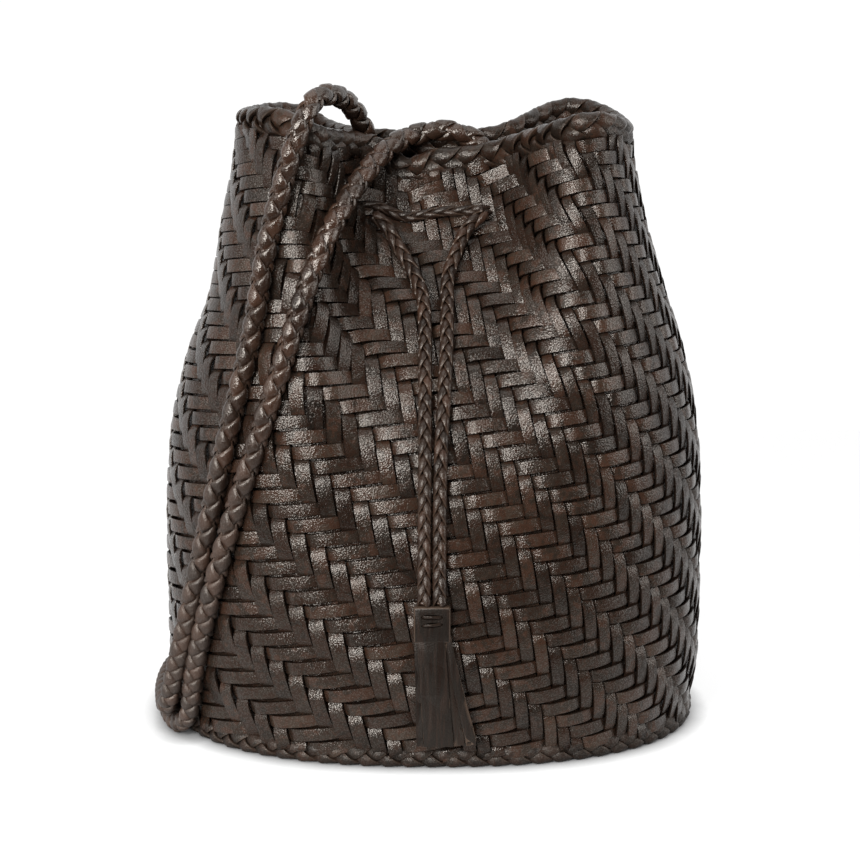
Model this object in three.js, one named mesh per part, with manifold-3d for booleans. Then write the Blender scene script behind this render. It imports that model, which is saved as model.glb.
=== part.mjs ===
// Woven leather bucket bag with a plaited rim, drawstring, tassel and shoulder strap.
// Millimetres, +Z up, the front of the bag looks along -Y, the bag stands on Z = 0.
import * as THREE from 'three';
import { mergeVertices } from 'three/addons/utils/BufferGeometryUtils.js';
import { RoundedBoxGeometry } from 'three/addons/geometries/RoundedBoxGeometry.js';
import Module from 'manifold-3d';

// Gap kept between pieces that touch on the real bag
const SEAM_GAP = 0.3;

// Wall: middle surface through these sections, from the foot to the mouth.
// left, right and depth are half sizes; pinch and dip gather the middle of the mouth in and down.
// Towards the mouth the plain dip turns into a shelf with a well in it, deeper in front than behind.
const WALL_THICKNESS = 3;
const WALL_ROWS = [
  { height: 9.3, left: 117.0, right: 117.0, depth: 86.5, pinch: 0.0, dip: 0 },
  { height: 30, left: 119.6, right: 119.6, depth: 90, pinch: 0.0, dip: 0 },
  { height: 62, left: 120.2, right: 120.0, depth: 92, pinch: 0.01, dip: 0 },
  { height: 100, left: 120.0, right: 119.8, depth: 92, pinch: 0.04, dip: 0.5 },
  { height: 138, left: 117.0, right: 117.3, depth: 91, pinch: 0.1, dip: 2 },
  { height: 170, left: 109.6, right: 111.4, depth: 88, pinch: 0.21, dip: 4.5 },
  { height: 200, left: 98.8, right: 102.6, depth: 84, pinch: 0.39, dip: 9 },
  { height: 228, left: 94.0, right: 94.8, depth: 79, pinch: 0.6, dip: 14 },
  { height: 254, left: 89.0, right: 89.2, depth: 74, pinch: 0.76, dip: 19 },
  { height: 273, left: 86.0, right: 86.4, depth: 70, pinch: 0.85, dip: 22 },
];
const SQUARENESS = 2.3;
const FOLD_LEFT = { reach: 44, sharpness: 8 };
const FOLD_RIGHT = { reach: 49, sharpness: 6 };
const SHELF = { depth: 14.5, left: 57, leftSharpness: 8, rightSharpness: 5 };
const SHELF_RIGHT = { front: 62, back: 47 };
const WELL = { front: 9.5, back: 2.5, left: 22, right: 36, sharpness: 4 };
const MOUTH_FADE = 4;
const CORNER_DROOP = { left: 4, right: 12 };
const FRONT_RISE = 4.5;
const RIGHT_RISE = 2.2;
const STRAP_NOTCH = { x: -13, reach: 10, depth: 5 };
const WALL_STEPS_UP = 18;
const WALL_STEPS_ROUND = 64;

// Plaited edges
const RIM = { width: 6.6, height: 13, inset: 1.6, lift: 0.7, steps: 64 };
const FOOT = { width: 8, height: 9, halfWidth: 116, halfDepth: 85.5, steps: 56 };
const BASE_THICKNESS = 3;

// Drawstring: a ring round the neck that passes out through two front holes, and two hanging ends
const DRAWSTRING_DIAMETER = 5.6;
const NECK = { v: 0.93, inside: 5.2, outside: 4.8, leftHole: -33, rightHole: 27, crossing: 9, step: 8 };
const HOLE_CLEARANCE = 0.35;
const DRAWSTRING_STEPS = 26;
const DRAWSTRING_LEFT_ROUTE = [
  [-27, -27.8, 235.2], [-21.4, -28.6, 230.6], [-15.1, -32.6, 220.6], [-8.5, -40.6, 210.4],
  [-4.9, -49.7, 200.9], [-4.1, -59.3, 189.3], [-4, -69, 175.5], [-4, -77.2, 162],
  [-4, -87.6, 133.8], [-4.3, -92.6, 104.3], [-4.4, -94.6, 88], [-4.5, -95.4, 76.2],
];
const DRAWSTRING_RIGHT_ROUTE = [
  [22.6, -27.8, 236.4], [15, -30, 230], [8.8, -37, 217.8], [6, -43.4, 209.4],
  [5.6, -53.2, 197.6], [5.4, -63, 185.2], [4.3, -76, 165.2], [2.8, -85.4, 141.2],
  [2.2, -91.4, 113.2], [2.1, -94.3, 90], [2.2, -95.4, 76.2],
];

// Shoulder strap: out of the mouth over the rim, down the front, round behind and up to the mouth again
const STRAP_DIAMETER = 8;
const STRAP_ROUTE = [
  [-29, 46, 186], [-29.2, 1.5, 238], [-30.5, -1.5, 266.2], [-36.8, -19, 282.2], [-44.6, -38, 288.8],
  [-51.6, -53, 287.2], [-57.2, -62.2, 276], [-71, -65, 229.3], [-78.1, -69.8, 190.3], [-90.4, -72.6, 140.8],
  [-100.3, -67.2, 98.3], [-116.7, -56, 30], [-119.3, -51.5, 19.5], [-121.5, -42.5, 14], [-125.2, -12, 13.2],
  [-125, 16, 13.2], [-121, 48, 8], [-101, 99, 4.4], [-70, 129, 4.4], [-52, 131.6, 4.4],
  [-39.4, 121.4, 4.4], [-38.6, 107, 4.4], [-50.5, 93.4, 4.4], [-88, 83, 4.4], [-108, 60, 4.4],
  [-122.6, 26, 4.4], [-124.8, -4, 4.4], [-120.8, -28.5, 4.4], [-116.3, -41, 4.8], [-110.6, -52, 12.5],
  [-106.6, -59.5, 36.5], [-93.4, -73.4, 89.6], [-66.8, -81, 172.4], [-45.9, -65, 230.4], [-22.4, -21.4, 262],
  [-8, -4, 268.2], [9, 0, 269], [24.5, 0, 260], [30.5, 0, 240], [30, 46.4, 187],
];
const STRAP_STEPS = 96;
const CORD_SIDES = 8;

// Tassel: head and fringe strips, hanging against the front of the wall
const TASSEL_HEAD = { width: 16, depth: 5, height: 9.6, top: 75.8, y: -95.7, rounding: 1.2 };
const TASSEL_FOOT = 12.5;
const TASSEL_TUCK = 3;
const STRIP_THICKNESS = 1.3;
const TASSEL_STRIPS = [
  { topLeft: -7.6, topRight: -5.6, footLeft: -8.0, footRight: -5.2, layer: 0.9 },
  { topLeft: -5.3, topRight: 2.6, footLeft: -4.8, footRight: 5.2, layer: -0.6 },
  { topLeft: 2.2, topRight: 4.6, footLeft: 5.0, footRight: 10.4, layer: 1.0 },
  { topLeft: 4.3, topRight: 6.2, footLeft: 10.2, footRight: 15.8, layer: -0.7 },
  { topLeft: 5.9, topRight: 7.6, footLeft: 15.4, footRight: 21.4, layer: 0.9 },
];

// Leather colours
const LEATHER = { wall: 0x3f2f28, edge: 0x46332a, cord: 0x4a352b, dark: 0x352923 };
const LEATHER_ROUGHNESS = 0.42;

const wasm = await Module();
wasm.setup();

function smoothStep(from, to, value) {
  const share = Math.min(1, Math.max(0, (value - from) / (to - from)));
  return share * share * (3 - 2 * share);
}

// Wall sections, blended by a smooth curve through the rows
const rowKnots = [0];
for (let i = 1; i < WALL_ROWS.length; i += 1) {
  const rise = WALL_ROWS[i].height - WALL_ROWS[i - 1].height;
  const drift = WALL_ROWS[i].right - WALL_ROWS[i - 1].right;
  rowKnots.push(rowKnots[i - 1] + Math.hypot(rise, drift));
}

function rowSlope(column, i) {
  const slopes = [];
  for (const start of [i - 1, i]) {
    if (start >= 0 && start + 1 < WALL_ROWS.length) {
      const rise = WALL_ROWS[start + 1][column] - WALL_ROWS[start][column];
      slopes.push(rise / (rowKnots[start + 1] - rowKnots[start]));
    }
  }
  return slopes.reduce((sum, slope) => sum + slope, 0) / slopes.length;
}

function rowAt(v) {
  const place = v * rowKnots[rowKnots.length - 1];
  let i = 0;
  while (i < rowKnots.length - 2 && rowKnots[i + 1] <= place) {
    i += 1;
  }
  const span = rowKnots[i + 1] - rowKnots[i];
  const s = (place - rowKnots[i]) / span;
  const row = {};
  for (const column of Object.keys(WALL_ROWS[0])) {
    const start = (2 * s ** 3 - 3 * s ** 2 + 1) * WALL_ROWS[i][column];
    const startSlope = (s ** 3 - 2 * s ** 2 + s) * span * rowSlope(column, i);
    const end = (3 * s ** 2 - 2 * s ** 3) * WALL_ROWS[i + 1][column];
    const endSlope = (s ** 3 - s ** 2) * span * rowSlope(column, i + 1);
    row[column] = start + startSlope + end + endSlope;
  }
  return row;
}

function superEllipse(halfWidth, halfDepth, angle) {
  const sine = Math.sin(angle);
  const cosine = Math.cos(angle);
  const power = 2 / SQUARENESS;
  const x = halfWidth * Math.sign(sine) * Math.abs(sine) ** power;
  const y = -halfDepth * Math.sign(cosine) * Math.abs(cosine) ** power;
  return { x, y };
}

// Flat in the middle, falling to nothing past the reach
function hump(x, reach, sharpness) {
  return 1 / (1 + (Math.abs(x) / reach) ** sharpness);
}

// How far the mouth sags at x, on its front or back side
function mouthSag(x, side) {
  const left = x < 0;
  const shelfSharpness = left ? SHELF.leftSharpness : SHELF.rightSharpness;
  const shelf = SHELF.depth * hump(x, left ? SHELF.left : SHELF_RIGHT[side], shelfSharpness);
  return shelf + WELL[side] * hump(x, left ? WELL.left : WELL.right, WELL.sharpness);
}

function sectionPoint(row, angle) {
  const halfWidth = Math.sin(angle) < 0 ? row.left : row.right;
  const { x, y } = superEllipse(halfWidth, row.depth, angle);
  const fold = x < 0 ? FOLD_LEFT : FOLD_RIGHT;
  const gather = hump(x, fold.reach, fold.sharpness);
  const foldedY = y * (1 - row.pinch * gather);
  const share = row.dip / WALL_ROWS[WALL_ROWS.length - 1].dip;
  const away = (x - STRAP_NOTCH.x) / STRAP_NOTCH.reach;
  const frontSag = mouthSag(x, 'front') + STRAP_NOTCH.depth * Math.exp(-(away ** 2));
  const frontness = smoothStep(-0.35, 0.35, -y / row.depth);
  const sag = THREE.MathUtils.lerp(mouthSag(x, 'back'), frontSag, frontness);
  const side = x / halfWidth;
  const droop = (x < 0 ? CORNER_DROOP.left : CORNER_DROOP.right) * side ** 6;
  const tilt = RIGHT_RISE * side - FRONT_RISE * (foldedY / row.depth);
  const lowered = THREE.MathUtils.lerp(row.dip * gather, sag, share ** MOUTH_FADE);
  return new THREE.Vector3(x, foldedY, row.height - lowered + share * (tilt - droop));
}

// Points spaced evenly round a closed loop given by a function of the angle
const FINE_STEPS = 720;

function measuredLoop(pointAt) {
  const points = [];
  const lengths = [0];
  for (let i = 0; i <= FINE_STEPS; i += 1) {
    points.push(pointAt((2 * Math.PI * i) / FINE_STEPS));
    if (i > 0) {
      lengths.push(lengths[i - 1] + points[i].distanceTo(points[i - 1]));
    }
  }
  return { points, lengths, total: lengths[FINE_STEPS] };
}

function loopPoint(loop, u) {
  const place = (u - Math.floor(u)) * loop.total;
  let low = 0;
  let high = FINE_STEPS;
  while (high - low > 1) {
    const middle = (low + high) >> 1;
    if (loop.lengths[middle] <= place) {
      low = middle;
    } else {
      high = middle;
    }
  }
  const share = (place - loop.lengths[low]) / (loop.lengths[high] - loop.lengths[low]);
  return loop.points[low].clone().lerp(loop.points[high], share);
}

// Wall surface: u runs round from the front centre towards +X, v runs up from the foot to the mouth
const loopCache = new Map();

function wallLoop(v) {
  const key = v.toFixed(5);
  if (!loopCache.has(key)) {
    const row = rowAt(v);
    loopCache.set(key, measuredLoop((angle) => sectionPoint(row, angle)));
  }
  return loopCache.get(key);
}

function wallPoint(u, v) {
  return loopPoint(wallLoop(v), u);
}

// Outward normal, turned level towards the foot and the mouth so that the edges meet the braids squarely
function wallNormal(u, v) {
  const along = wallPoint(u + 0.004, v).sub(wallPoint(u - 0.004, v));
  const up = wallPoint(u, Math.min(1, v + 0.01)).sub(wallPoint(u, Math.max(0, v - 0.01)));
  const normal = along.cross(up).normalize();
  normal.z *= smoothStep(0, 0.06, Math.min(v, 1 - v));
  return normal.normalize();
}

function offWall(u, v, distance) {
  return wallPoint(u, v).addScaledVector(wallNormal(u, v), distance);
}

// Closed mesh from points and triangles, turned the right way out
function closedGeometry(points, triangles) {
  const a = new THREE.Vector3();
  let volume = 0;
  for (const [i, j, k] of triangles) {
    volume += a.crossVectors(points[i], points[j]).dot(points[k]);
  }
  const turned = volume < 0 ? triangles.map(([i, j, k]) => [i, k, j]) : triangles;
  const geometry = new THREE.BufferGeometry().setFromPoints(points);
  geometry.setIndex(turned.flat());
  geometry.computeVertexNormals();
  return geometry;
}

function quad(a, b, c, d) {
  return [[a, b, c], [a, c, d]];
}

// Two triangles of a bent quad, split along its shorter diagonal
function bentQuad(points, a, b, c, d) {
  const straight = points[a].distanceTo(points[c]) <= points[b].distanceTo(points[d]);
  return straight ? quad(a, b, c, d) : quad(b, c, d, a);
}

// Closed ring swept along frames of a centre, an outward and an upward direction
function ringGeometry(frames, section) {
  const points = [];
  const triangles = [];
  const sides = section.length;
  frames.forEach((frame, i) => {
    const next = (i + 1) % frames.length;
    section.forEach(([across, rise], k) => {
      const point = frame.centre.clone().addScaledVector(frame.out, across);
      points.push(point.addScaledVector(frame.up, rise));
      const after = (k + 1) % sides;
      triangles.push(...quad(i * sides + k, next * sides + k, next * sides + after, i * sides + after));
    });
  });
  return closedGeometry(points, triangles);
}

function roundedSection(width, height) {
  const half = width / 2;
  const rise = height / 2;
  const corner = 0.45;
  return [
    [half, rise * corner], [half * corner, rise], [-half * corner, rise], [-half, rise * corner],
    [-half, -rise * corner], [-half * corner, -rise], [half * corner, -rise], [half, -rise * corner],
  ];
}

function circleSection(radius) {
  const section = [];
  for (let k = 0; k < CORD_SIDES; k += 1) {
    const angle = (2 * Math.PI * (k + 0.5)) / CORD_SIDES;
    section.push([radius * Math.cos(angle), radius * Math.sin(angle)]);
  }
  return section;
}

// Manifold conversions for the cut and the fused pieces
function toManifold(geometry) {
  const bare = geometry.clone();
  bare.deleteAttribute('normal');
  bare.deleteAttribute('uv');
  const merged = mergeVertices(bare, 1e-4);
  const vertProperties = new Float32Array(merged.attributes.position.array);
  const triVerts = new Uint32Array(merged.index.array);
  return new wasm.Manifold(new wasm.Mesh({ numProp: 3, vertProperties, triVerts }));
}

function fromManifold(manifold) {
  const mesh = manifold.getMesh();
  const geometry = new THREE.BufferGeometry();
  geometry.setAttribute('position', new THREE.BufferAttribute(mesh.vertProperties, 3));
  geometry.setIndex(new THREE.BufferAttribute(mesh.triVerts, 1));
  geometry.computeVertexNormals();
  return geometry;
}

// Hollow wall between its outer and inner faces
function wallShell() {
  const points = [];
  const triangles = [];
  const columns = WALL_STEPS_ROUND;
  const layer = (WALL_STEPS_UP + 1) * columns;
  for (const side of [1, -1]) {
    for (let i = 0; i <= WALL_STEPS_UP; i += 1) {
      for (let k = 0; k < columns; k += 1) {
        points.push(offWall(k / columns, i / WALL_STEPS_UP, (side * WALL_THICKNESS) / 2));
      }
    }
  }
  for (let k = 0; k < columns; k += 1) {
    const after = (k + 1) % columns;
    for (let i = 0; i < WALL_STEPS_UP; i += 1) {
      const low = i * columns;
      const high = low + columns;
      triangles.push(...bentQuad(points, low + k, low + after, high + after, high + k));
      const inner = [low + after, low + k, high + k, high + after].map((corner) => layer + corner);
      triangles.push(...bentQuad(points, ...inner));
    }
    const top = WALL_STEPS_UP * columns;
    triangles.push(...quad(k, layer + k, layer + after, after));
    triangles.push(...quad(top + k, top + after, layer + top + after, layer + top + k));
  }
  return closedGeometry(points, triangles);
}

// Neck ring: inside the wall, and outside it between the two front holes
function neckFrames() {
  const loop = wallLoop(NECK.v);
  const total = loop.total;
  const holeAt = (x) => {
    let u = 0;
    while (Math.abs(wallPoint(u, NECK.v).x) < Math.abs(x)) {
      u += Math.sign(x) / total / 4;
    }
    return u * total;
  };
  const leftHole = holeAt(NECK.leftHole);
  const rightHole = holeAt(NECK.rightHole);
  const count = Math.round(total / NECK.step);
  const places = [];
  for (let i = 0; i < count; i += 1) {
    places.push((i / count - 0.5) * total);
    const nearHole = Math.min(
      Math.abs(places[places.length - 1] - leftHole),
      Math.abs(places[places.length - 1] - rightHole),
    );
    if (nearHole < 2 * NECK.crossing) {
      places.push(((i + 0.5) / count - 0.5) * total);
    }
  }
  return places.map((place) => {
    const u = place / total;
    const half = NECK.crossing;
    const pastLeft = smoothStep(leftHole - half, leftHole + half, place);
    const beforeRight = 1 - smoothStep(rightHole - half, rightHole + half, place);
    const outside = Math.min(pastLeft, beforeRight);
    const offset = THREE.MathUtils.lerp(-NECK.inside, NECK.outside, outside);
    return { u, centre: offWall(u, NECK.v, offset) };
  });
}

function neckGeometry(radius) {
  const frames = neckFrames();
  const count = frames.length;
  const level = new THREE.Vector3(0, 0, 1);
  frames.forEach((frame, i) => {
    const before = frames[(i + count - 1) % count].centre;
    const after = frames[(i + 1) % count].centre;
    const along = after.clone().sub(before).normalize();
    frame.out = along.clone().cross(level).normalize();
    frame.up = frame.out.clone().cross(along).normalize();
  });
  return ringGeometry(frames, circleSection(radius));
}

function rimGeometry() {
  const frames = [];
  for (let i = 0; i < RIM.steps; i += 1) {
    const u = i / RIM.steps;
    const centre = offWall(u, 1, -RIM.inset);
    centre.z += RIM.lift + RIM.height / 2;
    frames.push({ centre, out: wallNormal(u, 1), up: new THREE.Vector3(0, 0, 1) });
  }
  return ringGeometry(frames, roundedSection(RIM.width, RIM.height));
}

function footGeometry() {
  const frames = [];
  const loop = measuredLoop((angle) => {
    const { x, y } = superEllipse(FOOT.halfWidth, FOOT.halfDepth, angle);
    return new THREE.Vector3(x, y, FOOT.height / 2);
  });
  const up = new THREE.Vector3(0, 0, 1);
  for (let i = 0; i < FOOT.steps; i += 1) {
    const u = i / FOOT.steps;
    const along = loopPoint(loop, u + 0.004).sub(loopPoint(loop, u - 0.004));
    frames.push({ centre: loopPoint(loop, u), out: along.cross(up).normalize(), up });
  }
  return ringGeometry(frames, roundedSection(FOOT.width, FOOT.height));
}

// Base panel inside the foot braid
function basePanelGeometry() {
  const shape = new THREE.Shape();
  const inset = FOOT.width / 2 + SEAM_GAP;
  const corners = [];
  for (let i = 0; i < FOOT.steps; i += 1) {
    const angle = (2 * Math.PI * i) / FOOT.steps;
    const { x, y } = superEllipse(FOOT.halfWidth - inset, FOOT.halfDepth - inset, angle);
    corners.push(new THREE.Vector2(x, y));
  }
  shape.setFromPoints(corners);
  return new THREE.ExtrudeGeometry(shape, { depth: BASE_THICKNESS, bevelEnabled: false });
}

// Free cord along a route of points
function cordGeometry(route, diameter, steps) {
  const curve = new THREE.CatmullRomCurve3(route.map((point) => new THREE.Vector3(...point)));
  curve.arcLengthDivisions = 2000;
  const corners = circleSection(diameter / 2).map(([x, y]) => new THREE.Vector2(x, y));
  const shape = new THREE.Shape(corners);
  return new THREE.ExtrudeGeometry(shape, { steps, extrudePath: curve, bevelEnabled: false });
}

// Tassel: fringe strips fused to the head
function tasselStrip(strip) {
  const headFoot = TASSEL_HEAD.top - TASSEL_HEAD.height;
  const steps = 5;
  const left = [];
  const right = [];
  for (let i = 0; i <= steps; i += 1) {
    const share = i / steps;
    const spread = share ** 1.3;
    const z = THREE.MathUtils.lerp(headFoot, TASSEL_FOOT, share);
    left.push(new THREE.Vector2(THREE.MathUtils.lerp(strip.topLeft, strip.footLeft, spread), z));
    right.push(new THREE.Vector2(THREE.MathUtils.lerp(strip.topRight, strip.footRight, spread), z));
  }
  left.unshift(new THREE.Vector2(strip.topLeft, headFoot + TASSEL_TUCK));
  right.unshift(new THREE.Vector2(strip.topRight, headFoot + TASSEL_TUCK));
  const shape = new THREE.Shape([...left, ...right.reverse()]);
  const geometry = new THREE.ExtrudeGeometry(shape, { depth: STRIP_THICKNESS, bevelEnabled: false });
  geometry.rotateX(Math.PI / 2);
  geometry.translate(0, TASSEL_HEAD.y + strip.layer + STRIP_THICKNESS / 2, 0);
  return geometry;
}

function tasselGeometry() {
  const { width, depth, height, rounding, top, y } = TASSEL_HEAD;
  const head = new RoundedBoxGeometry(width, depth, height, 2, rounding);
  head.translate(0, y, top - height / 2);
  let fused = toManifold(head);
  for (const strip of TASSEL_STRIPS) {
    fused = fused.add(toManifold(tasselStrip(strip)));
  }
  return fromManifold(fused);
}

function drawstring(route) {
  return cordGeometry(route, DRAWSTRING_DIAMETER, DRAWSTRING_STEPS);
}

function leather(name, geometry, color) {
  const material = new THREE.MeshStandardMaterial({ color, roughness: LEATHER_ROUGHNESS, metalness: 0 });
  const mesh = new THREE.Mesh(geometry, material);
  mesh.name = name;
  return mesh;
}

const neckRadius = DRAWSTRING_DIAMETER / 2;
const holes = toManifold(neckGeometry(neckRadius + HOLE_CLEARANCE));
const cutWall = fromManifold(toManifold(wallShell()).subtract(holes));

const bag = new THREE.Group();
bag.add(leather('base_panel', basePanelGeometry(), LEATHER.dark));
bag.add(leather('base_braid', footGeometry(), LEATHER.edge));
bag.add(leather('woven_wall', cutWall, LEATHER.wall));
bag.add(leather('rim_braid', rimGeometry(), LEATHER.edge));
bag.add(leather('drawstring_neck', neckGeometry(neckRadius), LEATHER.cord));
bag.add(leather('drawstring_left', drawstring(DRAWSTRING_LEFT_ROUTE), LEATHER.cord));
bag.add(leather('drawstring_right', drawstring(DRAWSTRING_RIGHT_ROUTE), LEATHER.cord));
bag.add(leather('tassel', tasselGeometry(), LEATHER.dark));
bag.add(leather('shoulder_strap', cordGeometry(STRAP_ROUTE, STRAP_DIAMETER, STRAP_STEPS), LEATHER.cord));

export default bag;
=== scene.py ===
import math

import bmesh
import bpy
import numpy as np
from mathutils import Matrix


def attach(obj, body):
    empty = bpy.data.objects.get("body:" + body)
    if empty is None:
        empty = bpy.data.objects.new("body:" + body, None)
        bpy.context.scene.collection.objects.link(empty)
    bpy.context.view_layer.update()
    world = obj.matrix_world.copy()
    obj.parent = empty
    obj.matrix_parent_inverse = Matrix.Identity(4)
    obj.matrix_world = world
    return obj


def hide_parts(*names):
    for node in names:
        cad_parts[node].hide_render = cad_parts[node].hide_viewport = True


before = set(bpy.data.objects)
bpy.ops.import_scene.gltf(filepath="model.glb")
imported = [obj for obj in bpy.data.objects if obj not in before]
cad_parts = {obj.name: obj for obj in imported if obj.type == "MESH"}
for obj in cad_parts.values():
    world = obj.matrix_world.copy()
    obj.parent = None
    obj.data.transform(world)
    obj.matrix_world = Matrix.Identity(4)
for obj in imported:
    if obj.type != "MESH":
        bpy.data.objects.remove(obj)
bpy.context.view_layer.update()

bl_info = {
    "name": "Woven Leather Bucket Bag",
    "version": (1, 0, 0),
    "blender": (4, 5, 0),
    "location": "3D View > Sidebar > Woven Bag",
    "description": "Weaves a leather bucket bag with plaited edges, a drawstring, a tassel and a strap",
    "category": "Add Mesh",
}

BODY = "root"

# Seeds of the shades of each group of strips
SEEDS = {"strap": 5, "drawstring": 8, "wefts": 21, "warps": 22, "base": 31, "rim": 41, "foot": 42}

# Wall sections in metres from the foot to the mouth: height, left, right, depth, pinch, dip
WALL_ROWS = (
    (0.0093, 0.1170, 0.1170, 0.0865, 0.00, 0.0000),
    (0.0300, 0.1196, 0.1196, 0.0900, 0.00, 0.0000),
    (0.0620, 0.1202, 0.1200, 0.0920, 0.01, 0.0000),
    (0.1000, 0.1200, 0.1198, 0.0920, 0.04, 0.0005),
    (0.1380, 0.1170, 0.1173, 0.0910, 0.10, 0.0020),
    (0.1700, 0.1096, 0.1114, 0.0880, 0.21, 0.0045),
    (0.2000, 0.0988, 0.1026, 0.0840, 0.39, 0.0090),
    (0.2280, 0.0940, 0.0948, 0.0790, 0.60, 0.0140),
    (0.2540, 0.0890, 0.0892, 0.0740, 0.76, 0.0190),
    (0.2730, 0.0860, 0.0864, 0.0700, 0.85, 0.0220),
)
SQUARENESS = 2.3
FOLD_LEFT_REACH = 0.044
FOLD_LEFT_SHARPNESS = 8
FOLD_RIGHT_REACH = 0.049
FOLD_RIGHT_SHARPNESS = 6
SHELF_DEPTH = 0.0145
SHELF_LEFT_REACH = 0.057
SHELF_LEFT_SHARPNESS = 8
SHELF_RIGHT_SHARPNESS = 5
SHELF_RIGHT_REACH = {"front": 0.062, "back": 0.047}
WELL_DEPTH = {"front": 0.0095, "back": 0.0025}
WELL_LEFT_REACH = 0.022
WELL_RIGHT_REACH = 0.036
WELL_SHARPNESS = 4
MOUTH_FADE = 4
CORNER_DROOP_LEFT = 0.004
CORNER_DROOP_RIGHT = 0.012
FRONT_RISE = 0.0045
RIGHT_RISE = 0.0022
NOTCH_X = -0.013
NOTCH_REACH = 0.010
NOTCH_DEPTH = 0.005
EDGE_LEVEL = 0.06
FRONT_BLEND = 0.35
DROOP_SHARPNESS = 6

# Steps of the sampled wall surface and of the curves
FINE_ANGLES = 1440
WALL_COLUMNS = 640
WALL_LINES = 161
ROUND_SAMPLES = 4097
TURN_SAMPLES = 6145
RISE_SAMPLES = 2049
CURVE_STEPS = 60

# Plaited edges, with the strands' reach and lift from the middle, their width, thickness and tone
RIM_HEIGHT = 0.013
RIM_INSET = 0.0016
RIM_LIFT = 0.0007
RIM_STEPS = 36
RIM_STRANDS = {"reach": 0.0043, "lift": 0.0019, "width": 0.0076, "thickness": 0.0030, "tone": 0.46}
FOOT_HEIGHT = 0.009
FOOT_HALF_WIDTH = 0.116
FOOT_HALF_DEPTH = 0.0855
FOOT_STEPS = 32
FOOT_STRANDS = {"reach": 0.0029, "lift": 0.0023, "width": 0.0060, "thickness": 0.0031, "tone": 0.29}
PLAIT_SPREAD = 0.14

# Drawstring ring round the neck
NECK_V = 0.93
NECK_INSIDE = 0.0052
NECK_OUTSIDE = 0.0048
NECK_LEFT_HOLE = -0.033
NECK_RIGHT_HOLE = 0.027
NECK_CROSSING = 0.009
NECK_STRANDS = {"reach": 0.0014, "lift": 0.0011, "width": 0.0025, "thickness": 0.0017, "tone": 0.30}

# Hanging drawstring ends, from the neck to the tassel
DRAWSTRING_LEFT_ROUTE = (
    (-0.0270, -0.0278, 0.2352), (-0.0214, -0.0286, 0.2306), (-0.0151, -0.0326, 0.2206),
    (-0.0085, -0.0406, 0.2104), (-0.0049, -0.0497, 0.2009), (-0.0041, -0.0593, 0.1893),
    (-0.0040, -0.0690, 0.1755), (-0.0040, -0.0772, 0.1620), (-0.0040, -0.0876, 0.1338),
    (-0.0043, -0.0926, 0.1043), (-0.0044, -0.0946, 0.0880), (-0.0045, -0.0954, 0.0762),
)
DRAWSTRING_RIGHT_ROUTE = (
    (0.0226, -0.0278, 0.2364), (0.0150, -0.0300, 0.2300), (0.0088, -0.0370, 0.2178),
    (0.0060, -0.0434, 0.2094), (0.0056, -0.0532, 0.1976), (0.0054, -0.0630, 0.1852),
    (0.0043, -0.0760, 0.1652), (0.0028, -0.0854, 0.1412), (0.0022, -0.0914, 0.1132),
    (0.0021, -0.0943, 0.0900), (0.0022, -0.0954, 0.0762),
)
DRAWSTRING_LEFT_LENGTH = 0.184
DRAWSTRING_RIGHT_LENGTH = 0.183
DRAWSTRING_FACING = (0.0, -1.0, 0.35)
DRAWSTRING_STEPS = 30
DRAWSTRING_STRANDS = {"reach": 0.0020, "lift": 0.0012, "width": 0.0033, "thickness": 0.0019, "tone": 0.40}

# Shoulder strap, from the back of the mouth over the front, round behind and back to the mouth
STRAP_ROUTE = (
    (-0.0290, 0.0460, 0.1860), (-0.0292, 0.0015, 0.2380), (-0.0305, -0.0015, 0.2662),
    (-0.0368, -0.0190, 0.2822), (-0.0446, -0.0380, 0.2888), (-0.0516, -0.0530, 0.2872),
    (-0.0572, -0.0622, 0.2760), (-0.0710, -0.0650, 0.2293), (-0.0781, -0.0698, 0.1903),
    (-0.0904, -0.0726, 0.1408), (-0.1003, -0.0672, 0.0983), (-0.1167, -0.0560, 0.0300),
    (-0.1193, -0.0515, 0.0195), (-0.1215, -0.0425, 0.0140), (-0.1252, -0.0120, 0.0132),
    (-0.1250, 0.0160, 0.0132), (-0.1210, 0.0480, 0.0080), (-0.1010, 0.0990, 0.0044),
    (-0.0700, 0.1290, 0.0044), (-0.0520, 0.1316, 0.0044), (-0.0394, 0.1214, 0.0044),
    (-0.0386, 0.1070, 0.0044), (-0.0505, 0.0934, 0.0044), (-0.0880, 0.0830, 0.0044),
    (-0.1080, 0.0600, 0.0044), (-0.1226, 0.0260, 0.0044), (-0.1248, -0.0040, 0.0044),
    (-0.1208, -0.0285, 0.0044), (-0.1163, -0.0410, 0.0048), (-0.1106, -0.0520, 0.0125),
    (-0.1066, -0.0595, 0.0365), (-0.0934, -0.0734, 0.0896), (-0.0668, -0.0810, 0.1724),
    (-0.0459, -0.0650, 0.2304), (-0.0224, -0.0214, 0.2620), (-0.0080, -0.0040, 0.2682),
    (0.0090, 0.0000, 0.2690), (0.0245, 0.0000, 0.2600), (0.0305, 0.0000, 0.2400),
    (0.0300, 0.0464, 0.1870),
)
STRAP_STEPS = 28

# Points of the strap's route where its plait is turned to the front, and the angle there
STRAP_FRONTS = ((9, math.pi / 2.0), (32, 0.0))

# Strands of the strap: the plait is tight and snug near the floor and slack above
STRAP_TONE = 0.53
STRAP_RADIUS = 0.0029
STRAP_SWELL = 0.0011
STRAND_WIDTH = 0.0062
STRAND_THICKNESS = 0.0017
STRAND_FULL_STRETCH = 0.74
CROSSING_FLATNESS = 1.4
STRAP_TIGHT = 0.64
STRAP_SLACK = 1.18
STRAP_SLACK_HEIGHTS = (0.022, 0.105)
FLOOR_SNUG = 0.88
SNUG_HEIGHTS = (0.006, 0.030)

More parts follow.
